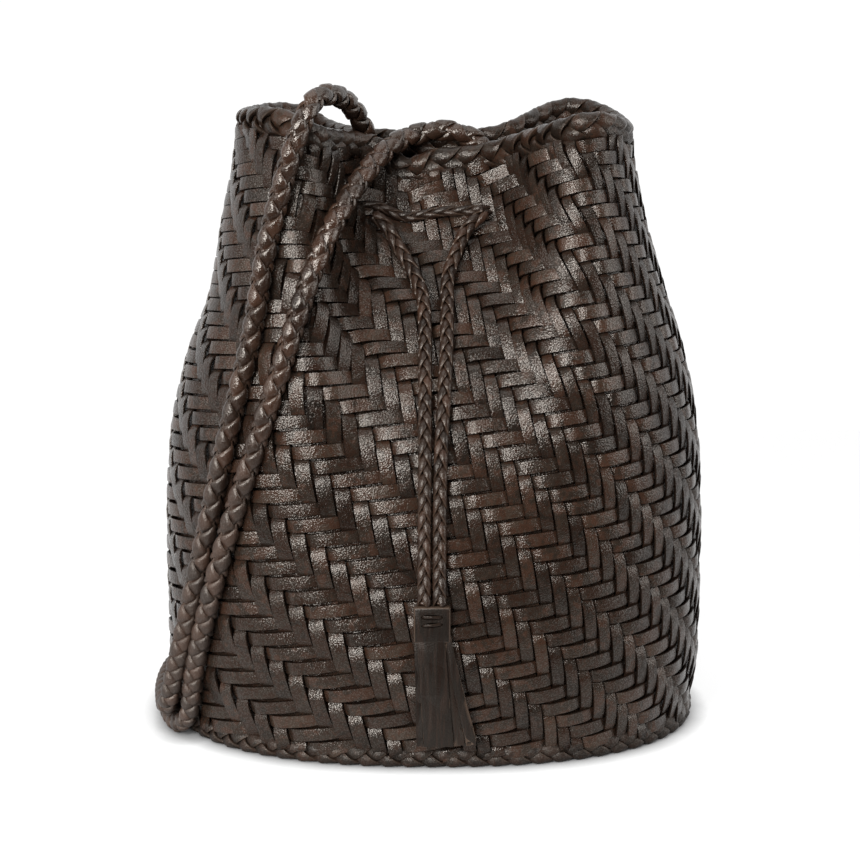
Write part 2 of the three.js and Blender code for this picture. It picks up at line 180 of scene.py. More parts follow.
# Tassel: uncut panel, two stitches of thong, and strips by their left and right edge at the panel and
# at the foot, their depth in the layers and their tone
TASSEL_MIDDLE = -0.0010
TASSEL_WIDTH = 0.0158
TASSEL_DEPTH = 0.0046
TASSEL_TOP = 0.0758
TASSEL_PANEL_HEIGHT = 0.0160
TASSEL_Y = -0.0957
TASSEL_FOOT = 0.0130
TASSEL_TUCK = 0.004
TASSEL_TONE = 0.08
PANEL_BEVEL = 0.0010
PANEL_CUT_EDGE = 0.0012
STRIP_DEPTH = 0.0012
STRIP_BEVEL = 0.00035
STRIP_STEPS = 6
STRIP_SPREAD = 1.15
BEVEL_SEGMENTS = 3
CREASE_ANGLE = math.radians(40.0)
NEARLY = 0.0001
TASSEL_STRIPS = (
    (-0.0086, -0.0068, -0.0078, -0.0047, -0.0011, 0.08),
    (-0.0073, 0.0044, -0.0046, 0.0081, -0.0016, 0.10),
    (0.0028, 0.0046, 0.0085, 0.0129, -0.0004, 0.26),
    (0.0040, 0.0058, 0.0118, 0.0150, 0.0010, 0.00),
    (0.0043, 0.0070, 0.0138, 0.0182, -0.0009, 0.06),
)
TASSEL_STITCHES = ((0.0714, 0.0714), (0.0675, 0.0683))
STITCH_STEPS = 13
STITCH_WIDTH = 0.0011
STITCH_THICKNESS = 0.0008
STITCH_TONE = 0.2
STITCH_REACH = 0.9
STITCH_SINK = 0.6
STITCH_BULGE = 1.1
SLIT_HALF = 0.0048
SLIT_DEPTH = 0.0018
SLIT_RISE = 0.0012
# Painted shade: the darkest tone, given to the walls of the slits in the tassel panel
SLIT_PAINTED_SHADE_TONE = -0.5

# Twill: each strip passes over three and under three, lengths are counted in strips
TWILL = 6
FLOAT_HALF = 1.5
TWILL_STEPS = (0.0, 0.6, 1.0, 1.25, 1.42, 1.58, 1.8, 2.2, 3.0)
TAIL_CURVE = 1.7
CROSSING_LENGTH = 0.38
CROSSING_PINCH = 0.05
PINCH_LENGTH = 0.4
UNDER_DIP = 0.3
UNDER_SPREAD = 0.12
UNDER_SPAN = (FLOAT_HALF + 0.2, FLOAT_HALF + 0.8)
ROW_START = 0.1
LEAN_LEVEL = 0.4
FOOT_TUCK = -0.016
MOUTH_TUCK = 1.016
# Level strips are painted lighter and upright strips darker: painted light and shade for how the light falls
# on level and upright floats. The spread round each mean is the strips' own tone
WEFT_TONE_PAINTED_LIGHTER = 0.55
WEFT_MIDDLE = 1.0
WARP_TONE_PAINTED_DARKER = 0.44
WARP_MIDDLE = 4.0
STRIP_TONE_SPREAD = 0.06
FLOAT_TONE_SPREAD = 0.10
FEWEST_SECTIONS = 4

# Base: a thinner and flatter twill inside the foot plait
BASE_INSET = 0.0047
BASE_THICKNESS = 0.003
BASE_TRIM = 0.3
BASE_SHORTEST = 2.0
BASE_RELIEF = 0.75
BASE_CROSSING = 0.3
BASE_STRIP = 0.8
BASE_TONE = 0.45
BASE_TONE_SPREAD = 0.1

# Leather: clouds of colour, warm and cool tints, pebbles and creases
CLOUDS = {"Scale": 210.0, "Detail": 5.0, "Roughness": 0.62}
CLOUD_RANGE = (0.3, 0.7)
CLOUD_LEVEL = 0.275
CLOUD_REACH = 0.16
CLOUD_GLOSS = (-0.07, 0.10)
DARK_PLACE = 0.35
MIDDLE_PLACE = 0.75
LIGHT_PLACE = 1.0
TINT_SWING = 30.0
WARM_TINT = (1.16, 0.97, 0.90)
COOL_TINT = (0.88, 1.02, 1.08)
PLAIN_TINT = (1.12, 0.98, 0.91)
GLOSS_TINT = (1.0, 0.93, 0.85, 1.0)
# Edge values over which a finish turns to its edge colour: raw cut edges on the plaits, and on the woven
# strips a dark dyed edge that is also painted shade between them
EDGE_COLOUR_RANGE = (0.6, 1.0)
POLISHED_HEIGHTS = (0.08, 0.19)
PEBBLE_RANGE = (0.15, 0.55)
PEBBLE_GLINT = 0.32
PEBBLE_SHADE = -0.16
PEBBLE_RELIEF = -0.8
CREASES = {"Scale": 700.0, "Detail": 3.0}
GRAIN_BUMP = 0.15
PEBBLE_BUMP = 0.35
BUMP_HEIGHT = 0.0004
EVEN = (1.0, 1.0, 1.0)
DOWNWARD = (3.0, 3.0, 0.25)

# Finishes: how much duller than the leather, stretch of the clouds, edges, gloss, pebbles, the cooler
# tint, and how much duller again low down where it isn't handled
FINISHES = {
    "strip_finish": {
        # The woven strips' edges are painted dark: dyed edges, and painted shade between the strips
        "duller": 0.0, "streaks": EVEN, "edge": "dyed_edge_and_shade", "edge_share": 0.8,
        "gloss": 0.33, "pebbled": 0.88, "cool": COOL_TINT, "dull_low": 0.0},
    "strap_finish": {
        "duller": 0.0, "streaks": EVEN, "edge": "raw_edge", "edge_share": 0.3,
        "gloss": 0.56, "pebbled": 0.7, "cool": PLAIN_TINT, "dull_low": 0.30},
    "edge_finish": {
        "duller": 0.06, "streaks": EVEN, "edge": "raw_edge", "edge_share": 0.3,
        "gloss": 0.28, "pebbled": 0.6, "cool": COOL_TINT, "dull_low": 0.20},
    "drawstring_finish": {
        "duller": 0.12, "streaks": EVEN, "edge": "raw_edge", "edge_share": 0.7,
        "gloss": 0.32, "pebbled": 0.5, "cool": PLAIN_TINT, "dull_low": 0.0},
    "tassel_finish": {
        "duller": 0.12, "streaks": DOWNWARD, "edge": "raw_edge", "edge_share": 0.6,
        "gloss": 0.22, "pebbled": 0.1, "cool": COOL_TINT, "dull_low": 0.0},
}

# Camera, floor and backdrop
CAMERA_PLACE = (-0.0019, -1.150, 0.385)
CAMERA_AIM = (-0.0019, 0.0, 0.132)
CAMERA_FOCUS_PIXELS = 2560.0
CAMERA_NEAR = 0.01
CAMERA_FAR = 50.0
IMAGE_PIXELS = 860.0
SENSOR_WIDTH = 36.0
FLOOR_SIZE = 0.80
FLOOR_MIDDLE = (0.0, 0.20, 0.0)
FLOOR_ROUGHNESS = 0.75
FLOOR_GLOSS = 0.2
# Power on the ambient occlusion that paints a contact shade into the floor's glow
PAINTED_SHADE_DEPTH = 1.6
BACKDROP_SPAN = (-0.15, 0.45)
WHITE = (1.0, 1.0, 1.0, 1.0)

# Lights: name, place, width and height, and the setting that holds the power
LIGHT_AIM = (0.0, 0.0, 0.13)
LIGHTS = (
    ("key_light", (-0.60, -1.22, 0.53), (0.60, 0.85), "key_power"),
    ("front_light", (0.05, -1.18, 0.95), (0.30, 0.30), "front_power"),
    ("left_light", (-1.20, -0.45, 0.45), (0.40, 0.90), "left_power"),
    ("right_light", (1.25, -0.30, 0.50), (0.90, 1.00), "fill_power"),
    ("top_light", (0.0, -0.15, 1.35), (1.0, 0.9), "top_power"),
)


# Settings that a user would change


class WovenBagWeave(bpy.types.PropertyGroup):
    warps: bpy.props.IntProperty(
        name="Upright strips", description="Number of upright strips round the bag",
        default=102, min=60, max=180)
    wefts: bpy.props.IntProperty(
        name="Level strips", description="Number of level strips up the wall", default=42, min=20, max=80)
    cover: bpy.props.FloatProperty(
        name="Cover", description="Width of a strip as a share of its spacing",
        default=0.95, min=0.5, max=1.0, subtype="FACTOR")
    thickness: bpy.props.FloatProperty(
        name="Strip thickness", description="Thickness of a leather strip", default=0.0013, unit="LENGTH")
    relief: bpy.props.FloatProperty(
        name="Relief", description="How far a strip rises over and dips under the others",
        default=0.00065, unit="LENGTH")
    arch: bpy.props.FloatProperty(
        name="Arch", description="Extra rise at the crown of a float", default=0.0019, unit="LENGTH")
    lead: bpy.props.FloatProperty(
        name="Lead", description="How far the crown of a float stands towards its head, in strips",
        default=0.7)
    lean: bpy.props.FloatProperty(
        name="Lean", description="Share of a turn by which an upright strip leans over its length",
        default=0.0713)
    crowding: bpy.props.FloatProperty(
        name="Crowding", description="How much closer the upright strips stand on the front right",
        default=0.14, subtype="FACTOR")
    row_rise: bpy.props.FloatProperty(
        name="Row rise", description="Height by which the level rows rise and fall round the bag",
        default=0.009, unit="LENGTH")
    float_tilt: bpy.props.FloatProperty(
        name="Float tilt", description="Slope of a level float against its row", default=0.055)


class WovenBagPlaits(bpy.types.PropertyGroup):
    rim_repeats: bpy.props.IntProperty(
        name="Rim repeats", description="Repeats of the plait round the rim", default=17, min=6, max=40)
    foot_repeats: bpy.props.IntProperty(
        name="Foot repeats", description="Repeats of the plait round the foot", default=23, min=6, max=50)
    neck_repeats: bpy.props.IntProperty(
        name="Neck repeats", description="Repeats of the drawstring plait round the neck",
        default=22, min=6, max=50)
    drawstring_repeat: bpy.props.FloatProperty(
        name="Drawstring repeat", description="Length of one repeat of the hanging drawstring plait",
        default=0.0234, unit="LENGTH")
    strap_turn: bpy.props.FloatProperty(
        name="Strap turn", description="Length in which a strap strand goes once round",
        default=0.0215, unit="LENGTH")


class WovenBagLeather(bpy.types.PropertyGroup):
    dark: bpy.props.FloatVectorProperty(
        name="Dark leather", description="Colour of the darkest strips", subtype="COLOR",
        default=(0.0058, 0.0037, 0.0027), min=0.0, max=1.0)
    middle: bpy.props.FloatVectorProperty(
        name="Brown leather", description="Colour of most strips", subtype="COLOR",
        default=(0.0128, 0.0078, 0.0054), min=0.0, max=1.0)
    light: bpy.props.FloatVectorProperty(
        name="Warm leather", description="Colour of the lightest strips", subtype="COLOR",
        default=(0.0235, 0.0132, 0.0086), min=0.0, max=1.0)
    raw_edge: bpy.props.FloatVectorProperty(
        name="Raw edge", description="Colour of the raw cut edges of the plaits", subtype="COLOR",
        default=(0.050, 0.032, 0.022), min=0.0, max=1.0)
    # Dark colour along the edges of the woven strips: their dyed edges, and painted shade in the gaps between
    # them
    dyed_edge_and_shade: bpy.props.FloatVectorProperty(
        name="Dyed edge", description="Colour of the dyed edges of the woven strips", subtype="COLOR",
        default=(0.0040, 0.0025, 0.0018), min=0.0, max=1.0)
    roughness: bpy.props.FloatProperty(
        name="Roughness", description="Gloss of the leather, from shiny to matt",
        default=0.22, min=0.0, max=1.0, subtype="FACTOR")
    grain: bpy.props.FloatProperty(
        name="Grain", description="Size of a pebble of the leather grain", default=0.00075, unit="LENGTH")


class WovenBagStage(bpy.types.PropertyGroup):
    floor_colour: bpy.props.FloatVectorProperty(
        name="Floor", description="Colour of the floor", subtype="COLOR",
        default=(0.18, 0.18, 0.18), min=0.0, max=1.0)
    floor_glow: bpy.props.FloatProperty(
        name="Floor glow", description="Light that comes up through the floor", default=0.78, min=0.0)
    # Reach of the painted shade: the floor's glow is dimmed by ambient occlusion near things that stand on it
    painted_shade_reach: bpy.props.FloatProperty(
        name="Contact shade", description="Reach of the soft shade where a thing stands on the floor",
        default=0.010, unit="LENGTH")
    front_strength: bpy.props.FloatProperty(
        name="Front ambient", description="Strength of the soft light from the front", default=0.06, min=0.0)
    back_strength: bpy.props.FloatProperty(
        name="Backdrop", description="Strength of the white backdrop behind", default=1.05, min=0.0)
    key_power: bpy.props.FloatProperty(
        name="Key light", description="Power of the light at the front left", default=41.0, unit="POWER")
    front_power: bpy.props.FloatProperty(
        name="Front light", description="Power of the small light above the camera",
        default=9.0, unit="POWER")
    left_power: bpy.props.FloatProperty(
        name="Side light", description="Power of the light at the left side", default=6.0, unit="POWER")
    fill_power: bpy.props.FloatProperty(
        name="Right light", description="Power of the light at the right", default=13.0, unit="POWER")
    top_power: bpy.props.FloatProperty(
        name="Top light", description="Power of the large light overhead", default=6.0, unit="POWER")


# Wall surface


def smooth_step(start, end, value):
    share = np.clip((value - start) / (end - start), 0.0, 1.0)
    return share * share * (3.0 - 2.0 * share)


def unit(vectors):
    return vectors / np.linalg.norm(vectors, axis=-1, keepdims=True)


def along_line(line, closed):
    """Unit directions along a line."""
    if closed:
        return unit(np.roll(line, -1, axis=0) - np.roll(line, 1, axis=0))
    return unit(np.gradient(line, axis=0))


def cubic(share, start, end, start_slope, end_slope):
    """Smooth way from a start to an end that leaves and arrives with the given slopes."""
    first = (2 * share**3 - 3 * share**2 + 1) * start + (share**3 - 2 * share**2 + share) * start_slope
    return first + (3 * share**2 - 2 * share**3) * end + (share**3 - share**2) * end_slope


def section_sizes(v):
    """Sizes of the wall's sections at the heights v, one row of WALL_ROWS columns each."""
    rows = np.array(WALL_ROWS)
    spans = np.hypot(np.diff(rows[:, 0]), np.diff(rows[:, 2]))
    knots = np.concatenate([[0.0], np.cumsum(spans)])
    slopes = np.diff(rows, axis=0) / spans[:, None]
    tangents = np.vstack([slopes[:1], (slopes[1:] + slopes[:-1]) / 2.0, slopes[-1:]])
    place = np.asarray(v) * knots[-1]
    i = np.clip(np.searchsorted(knots, place, side="right") - 1, 0, len(rows) - 2)
    span = spans[i][:, None]
    share = ((place - knots[i]) / spans[i])[:, None]
    return cubic(share, rows[i], rows[i + 1], span * tangents[i], span * tangents[i + 1])


def oval(half_width, half_depth, angle):
    """Rounded oval, the angle runs from the front centre towards +X."""
    sine = np.sin(angle)
    cosine = np.cos(angle)
    power = 2.0 / SQUARENESS
    x = half_width * np.sign(sine) * np.abs(sine) ** power
    y = -half_depth * np.sign(cosine) * np.abs(cosine) ** power
    return x, y


def hump(x, left_reach, left_sharpness, right_reach, right_sharpness):
    """Flat in the middle, falling to nothing past the reach on either side."""
    reach = np.where(x < 0.0, left_reach, right_reach)
    sharpness = np.where(x < 0.0, left_sharpness, right_sharpness)
    return 1.0 / (1.0 + (np.abs(x) / reach) ** sharpness)


def mouth_sag(x, side):
    """How far the mouth sags at x, on its front or back side."""
    shelf = hump(
        x, SHELF_LEFT_REACH, SHELF_LEFT_SHARPNESS, SHELF_RIGHT_REACH[side], SHELF_RIGHT_SHARPNESS)
    well = hump(x, WELL_LEFT_REACH, WELL_SHARPNESS, WELL_RIGHT_REACH, WELL_SHARPNESS)
    return SHELF_DEPTH * shelf + WELL_DEPTH[side] * well


def wall_section(sizes, angle):
    """Points of one folded section of the wall."""
    height, left, right, depth, pinch, dip = sizes
    half_width = np.where(np.sin(angle) < 0.0, left, right)
    x, y = oval(half_width, depth, angle)
    gather = hump(x, FOLD_LEFT_REACH, FOLD_LEFT_SHARPNESS, FOLD_RIGHT_REACH, FOLD_RIGHT_SHARPNESS)
    folded = y * (1.0 - pinch * gather)
    share = dip / WALL_ROWS[-1][5]
    notch = NOTCH_DEPTH * np.exp(-(((x - NOTCH_X) / NOTCH_REACH) ** 2))
    frontness = smooth_step(-FRONT_BLEND, FRONT_BLEND, -y / depth)
    sag = (mouth_sag(x, "front") + notch) * frontness + mouth_sag(x, "back") * (1.0 - frontness)
    side = x / half_width
    droop = np.where(x < 0.0, CORNER_DROOP_LEFT, CORNER_DROOP_RIGHT) * side**DROOP_SHARPNESS
    tilt = RIGHT_RISE * side - FRONT_RISE * folded / depth
    near_mouth = share**MOUTH_FADE
    lowered = dip * gather * (1.0 - near_mouth) + sag * near_mouth
    return np.stack([x, folded, height - lowered + share * (tilt - droop)], axis=-1)


def even_loop(points, count):
    """Points spaced evenly round a closed loop, and its length."""
    steps = np.linalg.norm(np.diff(points, axis=0), axis=1)
    lengths = np.concatenate([[0.0], np.cumsum(steps)])
    places = np.arange(count) / count * lengths[-1]
    even = np.stack([np.interp(places, lengths, points[:, axis]) for axis in range(3)], axis=-1)
    return even, lengths[-1]


class WallSurface:
    """Middle surface of the wall, u runs round from the front centre towards +X and v up."""

    def __init__(self):
        angles = np.linspace(0.0, 2.0 * math.pi, FINE_ANGLES + 1)
        heights = np.linspace(0.0, 1.0, WALL_LINES)
        lines = []
        rounds = []
        for sizes in section_sizes(heights):
            line, length = even_loop(wall_section(sizes, angles), WALL_COLUMNS)
            lines.append(line)
            rounds.append(length)
        self.points = np.array(lines)
        self.rounds = np.array(rounds)
        along = np.roll(self.points, -2, axis=1) - np.roll(self.points, 2, axis=1)
        up = np.gradient(self.points, axis=0)
        normals = unit(np.cross(along, up))
        level = smooth_step(0.0, EDGE_LEVEL, np.minimum(heights, 1.0 - heights))
        normals[:, :, 2] *= level[:, None]
        self.normals = unit(normals)
        rises = np.linalg.norm(np.diff(self.points, axis=0), axis=2)
        self.height = float(rises.sum(axis=0).mean())

    def sample(self, grid, u, v):
        column = (np.asarray(u) % 1.0) * WALL_COLUMNS
        line = np.clip(v, 0.0, 1.0) * (WALL_LINES - 1)
        c0 = np.floor(column).astype(int) % WALL_COLUMNS
        c1 = (c0 + 1) % WALL_COLUMNS
        l0 = np.minimum(np.floor(line).astype(int), WALL_LINES - 2)
        across = (column - np.floor(column))[..., None]
        rise = (line - l0)[..., None]
        low = grid[l0, c0] * (1.0 - across) + grid[l0, c1] * across
        high = grid[l0 + 1, c0] * (1.0 - across) + grid[l0 + 1, c1] * across
        return low * (1.0 - rise) + high * rise

    def at(self, u, v):
        """Points and outward normals, carried straight on above the mouth and below the foot."""
        points = self.sample(self.points, u, v)
        points[..., 2] += (v - np.clip(v, 0.0, 1.0)) * self.height
        return points, unit(self.sample(self.normals, u, v))

    def round_at(self, v):
        return np.interp(v, np.linspace(0.0, 1.0, WALL_LINES), self.rounds)


WALL = WallSurface()


# Strands and meshes


# Sections of the strips: outline, share of edge colour, and the corners that stay crisp. On the woven strips
# the edge colour is a dark dyed edge that is also painted shade between the strips; on the plaits it is the
# raw edge
STRIP_SECTION = {
    "outline": np.array([
        (-0.50, -0.10), (-0.46, 0.44), (-0.16, 0.52), (0.16, 0.52),
        (0.46, 0.44), (0.50, -0.10), (0.40, -0.50), (-0.40, -0.50),
    ]),
    "edges": np.array([1.0, 0.75, 0.0, 0.0, 0.75, 1.0, 0.5, 0.5]),
    "corners": (1, 4),
}
STRAND_SECTION = {
    "outline": np.array([
        (-0.50, 0.0), (-0.38, 0.38), (-0.15, 0.50), (0.15, 0.50), (0.38, 0.38),
        (0.50, 0.0), (0.38, -0.38), (0.15, -0.50), (-0.15, -0.50), (-0.38, -0.38),
    ]),
    "edges": np.array([1.0, 0.45, 0.0, 0.0, 0.45, 1.0, 0.45, 0.0, 0.0, 0.45]),
    "corners": (0, 5),
}
LACE_SECTION = {
    "outline": np.array([
        (-0.50, -0.42), (-0.46, 0.20), (-0.28, 0.44), (0.0, 0.50), (0.28, 0.44),
        (0.46, 0.20), (0.50, -0.42), (0.36, -0.80), (0.0, -0.50), (-0.36, -0.80),
    ]),
    "edges": np.array([1.0, 0.6, 0.1, 0.0, 0.1, 0.6, 1.0, 0.5, 0.0, 0.5]),
    "corners": (0, 6),
}


class Skein:
    """Gathers swept strands of leather and makes one mesh of them."""

    def __init__(self):
        self.vertices = []
        self.quads = []
        self.tones = []
        self.edges = []
        self.corners = []
        self.count = 0

    def add(self, centres, normals, widths, thicknesses, tones, section, closed):
        """Carries a section along a line. The widths lie across the line and the normals look outwards."""
        along = along_line(centres, closed)
        across = unit(np.cross(along, normals))
        out = np.cross(across, along)
        outline = section["outline"]
        rings = len(centres)
        sides = len(outline)
        wide = np.broadcast_to(widths, (rings,))[:, None] * outline[None, :, 0]
        thick = np.broadcast_to(thicknesses, (rings,))[:, None] * outline[None, :, 1]
        sideways = across[:, None, :] * wide[..., None]
        points = centres[:, None, :] + sideways + out[:, None, :] * thick[..., None]
        first = np.arange(rings if closed else rings - 1)[:, None]
        after = (first + 1) % rings
        side = np.arange(sides)[None, :]
        turn = (side + 1) % sides
        quads = np.stack(
            [first * sides + side, first * sides + turn, after * sides + turn, after * sides + side], axis=-1)
        quads = quads.reshape(-1, 4)
        if not closed:
            cap = np.array([(k, k + 1, sides - 2 - k, sides - 1 - k) for k in range(sides // 2 - 1)])
            quads = np.vstack([quads, cap[:, ::-1], cap + (rings - 1) * sides])
        self.vertices.append(points.reshape(-1, 3))
        self.quads.append(quads + self.count)
        self.tones.append(np.repeat(np.broadcast_to(tones, (rings,)), sides))
        self.edges.append(np.tile(section["edges"], rings))
        self.corners.append(np.tile(np.isin(np.arange(sides), section["corners"]), rings))
        self.count += rings * sides

    def mesh(self, name):
        mesh = bpy.data.meshes.new(name)
        mesh.from_pydata(np.vstack(self.vertices).tolist(), [], np.vstack(self.quads).tolist())
        for key, values in (("tone", self.tones), ("edge", self.edges)):
            layer = mesh.attributes.new(key, "FLOAT", "POINT")
            layer.data.foreach_set("value", np.concatenate(values).astype(np.float32))
        mesh.shade_smooth()
        ends = np.empty(2 * len(mesh.edges), dtype=np.int32)
        mesh.edges.foreach_get("vertices", ends)
        crisp = np.concatenate(self.corners)[ends.reshape(-1, 2)].all(axis=1)
        layer = mesh.attributes.new("sharp_edge", "BOOLEAN", "EDGE")
        layer.data.foreach_set("value", crisp)
        mesh.update()
        return mesh

    def piece(self, name, material, slot, *nodes):
        """Puts the mesh in the scene as a piece that stands for CAD nodes."""
        piece = bpy.data.objects.new(name, self.mesh(name))
        bpy.context.scene.collection.objects.link(piece)
        piece.data.materials.append(material)
        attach(piece, BODY)
        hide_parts(*nodes)
        return piece


def smooth_line(route, step):
    """Evenly spaced points on a smooth curve through a route."""
    points = np.array(route)
    points = np.vstack([2 * points[0] - points[1], points, 2 * points[-1] - points[-2]])
    fine = []
    for i in range(1, len(points) - 2):
        p0, p1, p2, p3 = points[i - 1:i + 3]
        d0, d1, d2 = (math.sqrt(np.linalg.norm(b - a)) for a, b in ((p0, p1), (p1, p2), (p2, p3)))
        start = ((p1 - p0) / d0 - (p2 - p0) / (d0 + d1) + (p2 - p1) / d1) * d1
        end = ((p2 - p1) / d1 - (p3 - p1) / (d1 + d2) + (p3 - p2) / d2) * d1
        share = np.linspace(0.0, 1.0, CURVE_STEPS, endpoint=False)[:, None]
        fine.append(cubic(share, p1, p2, start, end))
    fine = np.vstack(fine + [points[-2:-1]])
    lengths = np.concatenate([[0.0], np.cumsum(np.linalg.norm(np.diff(fine, axis=0), axis=1))])
    places = np.linspace(0.0, lengths[-1], int(round(lengths[-1] / step)) + 1)
    line = np.stack([np.interp(places, lengths, fine[:, axis]) for axis in range(3)], axis=-1)
    return line, places


def carried_frames(line):
    """Two directions across a line, carried along it without twist."""
    along = along_line(line, False)
    first = np.cross(along[0], (1.0, 0.0, 0.0))
    sideways = [first / np.linalg.norm(first)]
    for direction in along[1:]:
        side = sideways[-1] - direction * np.dot(sideways[-1], direction)
        sideways.append(side / np.linalg.norm(side))
    sideways = np.array(sideways)
    return sideways, np.cross(along, sideways)


def flat_plait(skein, line, out, turn, reach, lift, width, thickness, tone, rng, closed):
    """Three strands that cross over each other, rolling round the two edges of the plait."""
    along = along_line(line, closed)
    up = unit(np.cross(out, along))
    out = np.cross(along, up)
    for strand in range(3):
        phase = turn + strand * 2.0 * math.pi / 3.0
        centres = line + up * (reach * np.sin(phase))[:, None] + out * (lift * np.sin(2.0 * phase))[:, None]
        roll = (math.pi / 2.0) * (1.0 - np.cos(phase))
        normals = out * np.cos(roll)[:, None] + up * np.sin(roll)[:, None]
        lobe = np.floor(phase / math.pi).astype(int)
        shades = rng.normal(tone, PLAIT_SPREAD, lobe.max() + 2)
        if closed:
            shades[lobe.max()] = shades[lobe.min()]
        skein.add(centres, normals, width, thickness, shades[lobe], STRAND_SECTION, closed)


def front_angles(line, places, fronts):
    """Angles round a line that turn its plait to the front, each at its own point of the line."""
    side, other = carried_frames(line)
    marks = [int(np.argmin(np.linalg.norm(line - point, axis=1))) for point, _ in fronts]
    angles = [math.atan2(-other[mark, 1], -side[mark, 1]) for mark in marks]
    angles = [angle - wanted for angle, (_, wanted) in zip(angles, fronts)]
    for i in range(1, len(angles)):
        angles[i] = angles[i - 1] + (angles[i] - angles[i - 1] + math.pi / 2.0) % math.pi - math.pi / 2.0
    return np.interp(places, places[marks], angles)


def round_plait(skein, line, turn, front, radius, swell, width, thickness, rng):
    """Four strands, two each way round, that cross over and under each other."""
    side, other = carried_frames(line)
    for strand in range(4):
        way = 1.0 if strand < 2 else -1.0
        start = math.pi * strand + (0.0 if strand < 2 else math.pi / 2.0)
        angle = way * turn + start + front
        outward = side * np.cos(angle)[:, None] + other * np.sin(angle)[:, None]
        rise = np.tanh(CROSSING_FLATNESS * np.sin(2.0 * turn)) / math.tanh(CROSSING_FLATNESS)
        distance = radius + way * swell * rise
        lobe = np.floor(turn / math.pi + strand * 0.5).astype(int)
        shades = rng.normal(STRAP_TONE, PLAIT_SPREAD, lobe.max() + 2)
        skein.add(
            line + outward * distance[:, None], outward, width, thickness, shades[lobe],
            LACE_SECTION, False)


# Leather finishes


def set_inputs(tree, node, inputs):
    """Gives each input of a node its value, or links it to another node's output."""
    for key, value in inputs.items():
        if isinstance(value, bpy.types.NodeSocket):
            tree.links.new(value, node.inputs[key])
        else:
            node.inputs[key].default_value = value


def add_node(tree, kind, inputs, **settings):
    """Adds a node with its settings and inputs."""
    node = tree.nodes.new(kind)
    for key, value in settings.items():
        setattr(node, key, value)
    set_inputs(tree, node, inputs)
    return node


def map_range(tree, value, old, new):
    """Carries a value from one range to another."""
    inputs = {"Value": value, "From Min": old[0], "From Max": old[1], "To Min": new[0], "To Max": new[1]}
    return add_node(tree, "ShaderNodeMapRange", inputs).outputs["Result"]


def calculate(tree, operation, *values):
    return add_node(tree, "ShaderNodeMath", dict(enumerate(values)), operation=operation).outputs["Value"]


def mix_colours(tree, share, first, second, blend="MIX"):
    inputs = {"Factor": share, "A": first, "B": second}
    return add_node(tree, "ShaderNodeMix", inputs, data_type="RGBA", blend_type=blend).outputs["Result"]


def attribute(tree, name):
    """A value that the mesh carries at its points."""
    return add_node(tree, "ShaderNodeAttribute", {}, attribute_name=name).outputs["Fac"]


def make_finish(name, leather, duller, streaks, edge, edge_share, gloss, pebbled, cool, dull_low):
    """Grained leather: the tone of each strip, clouded colour, cut edges, pebbles and creases. The dark edges
    of the woven strips are dyed edges and also painted shade between the strips.
    """
    material = bpy.data.materials.new(name)
    material.use_nodes = True
    tree = material.node_tree
    place = add_node(tree, "ShaderNodeTexCoord", {}).outputs["Object"]
    stretched = add_node(tree, "ShaderNodeMapping", {"Vector": place, "Scale": streaks}).outputs["Vector"]
    cloud = add_node(tree, "ShaderNodeTexNoise", {"Vector": stretched, **CLOUDS}).outputs["Fac"]
    clouding = map_range(tree, cloud, CLOUD_RANGE, (CLOUD_LEVEL - CLOUD_REACH, CLOUD_LEVEL + CLOUD_REACH))
    tone = calculate(tree, "ADD", clouding, attribute(tree, "tone"))
    ramp = add_node(tree, "ShaderNodeValToRGB", {"Fac": tone})
    stops = ramp.color_ramp.elements
    stops[0].position = DARK_PLACE
    stops[0].color = (*leather.dark, 1.0)
    stops[1].position = LIGHT_PLACE
    stops[1].color = (*leather.light, 1.0)
    middle = stops.new(MIDDLE_PLACE)
    middle.color = (*leather.middle, 1.0)
    wave = calculate(tree, "SINE", calculate(tree, "MULTIPLY", tone, TINT_SWING))
    warmth = map_range(tree, wave, (-1.0, 1.0), (0.0, 1.0))
    tint_colour = mix_colours(tree, warmth, (*cool, 1.0), (*WARM_TINT, 1.0))
    tinted = mix_colours(tree, 1.0, ramp.outputs["Color"], tint_colour, "MULTIPLY")
    # Edge colour: raw edges on the plaits; on the woven strips a dark dyed edge that is also painted shade
    # between them
    edge_colouring = map_range(tree, attribute(tree, "edge"), EDGE_COLOUR_RANGE, (0.0, edge_share))
    colour = mix_colours(tree, edge_colouring, tinted, (*getattr(leather, edge), 1.0))
    level = leather.roughness + duller
    roughness = map_range(tree, cloud, CLOUD_RANGE, [level + change for change in CLOUD_GLOSS])
    if dull_low:
        height = add_node(tree, "ShaderNodeSeparateXYZ", {"Vector": place}).outputs["Z"]
        dulling = map_range(tree, height, POLISHED_HEIGHTS, (dull_low, 0.0))
        roughness = calculate(tree, "ADD", roughness, dulling)
    grain = {"Vector": place, "Scale": 1.0 / leather.grain}
    pebbles = add_node(tree, "ShaderNodeTexVoronoi", grain).outputs["Distance"]
    glints = (gloss + PEBBLE_GLINT * pebbled, gloss + PEBBLE_SHADE * pebbled)
    creases = add_node(tree, "ShaderNodeTexNoise", {"Vector": stretched, **CREASES}).outputs["Fac"]
    bump = add_node(tree, "ShaderNodeBump", {
        "Strength": GRAIN_BUMP + PEBBLE_BUMP * pebbled, "Distance": BUMP_HEIGHT,
        "Height": calculate(tree, "MULTIPLY_ADD", pebbles, PEBBLE_RELIEF, creases)})
    shader = tree.nodes["Principled BSDF"]
    shader.inputs["Specular IOR Level"].default_value = gloss
    set_inputs(tree, shader, {
        "Base Color": colour, "Roughness": roughness, "Specular Tint": GLOSS_TINT,
        "Specular IOR Level": map_range(tree, pebbles, PEBBLE_RANGE, glints),
        "Normal": bump.outputs["Normal"]})
    return material


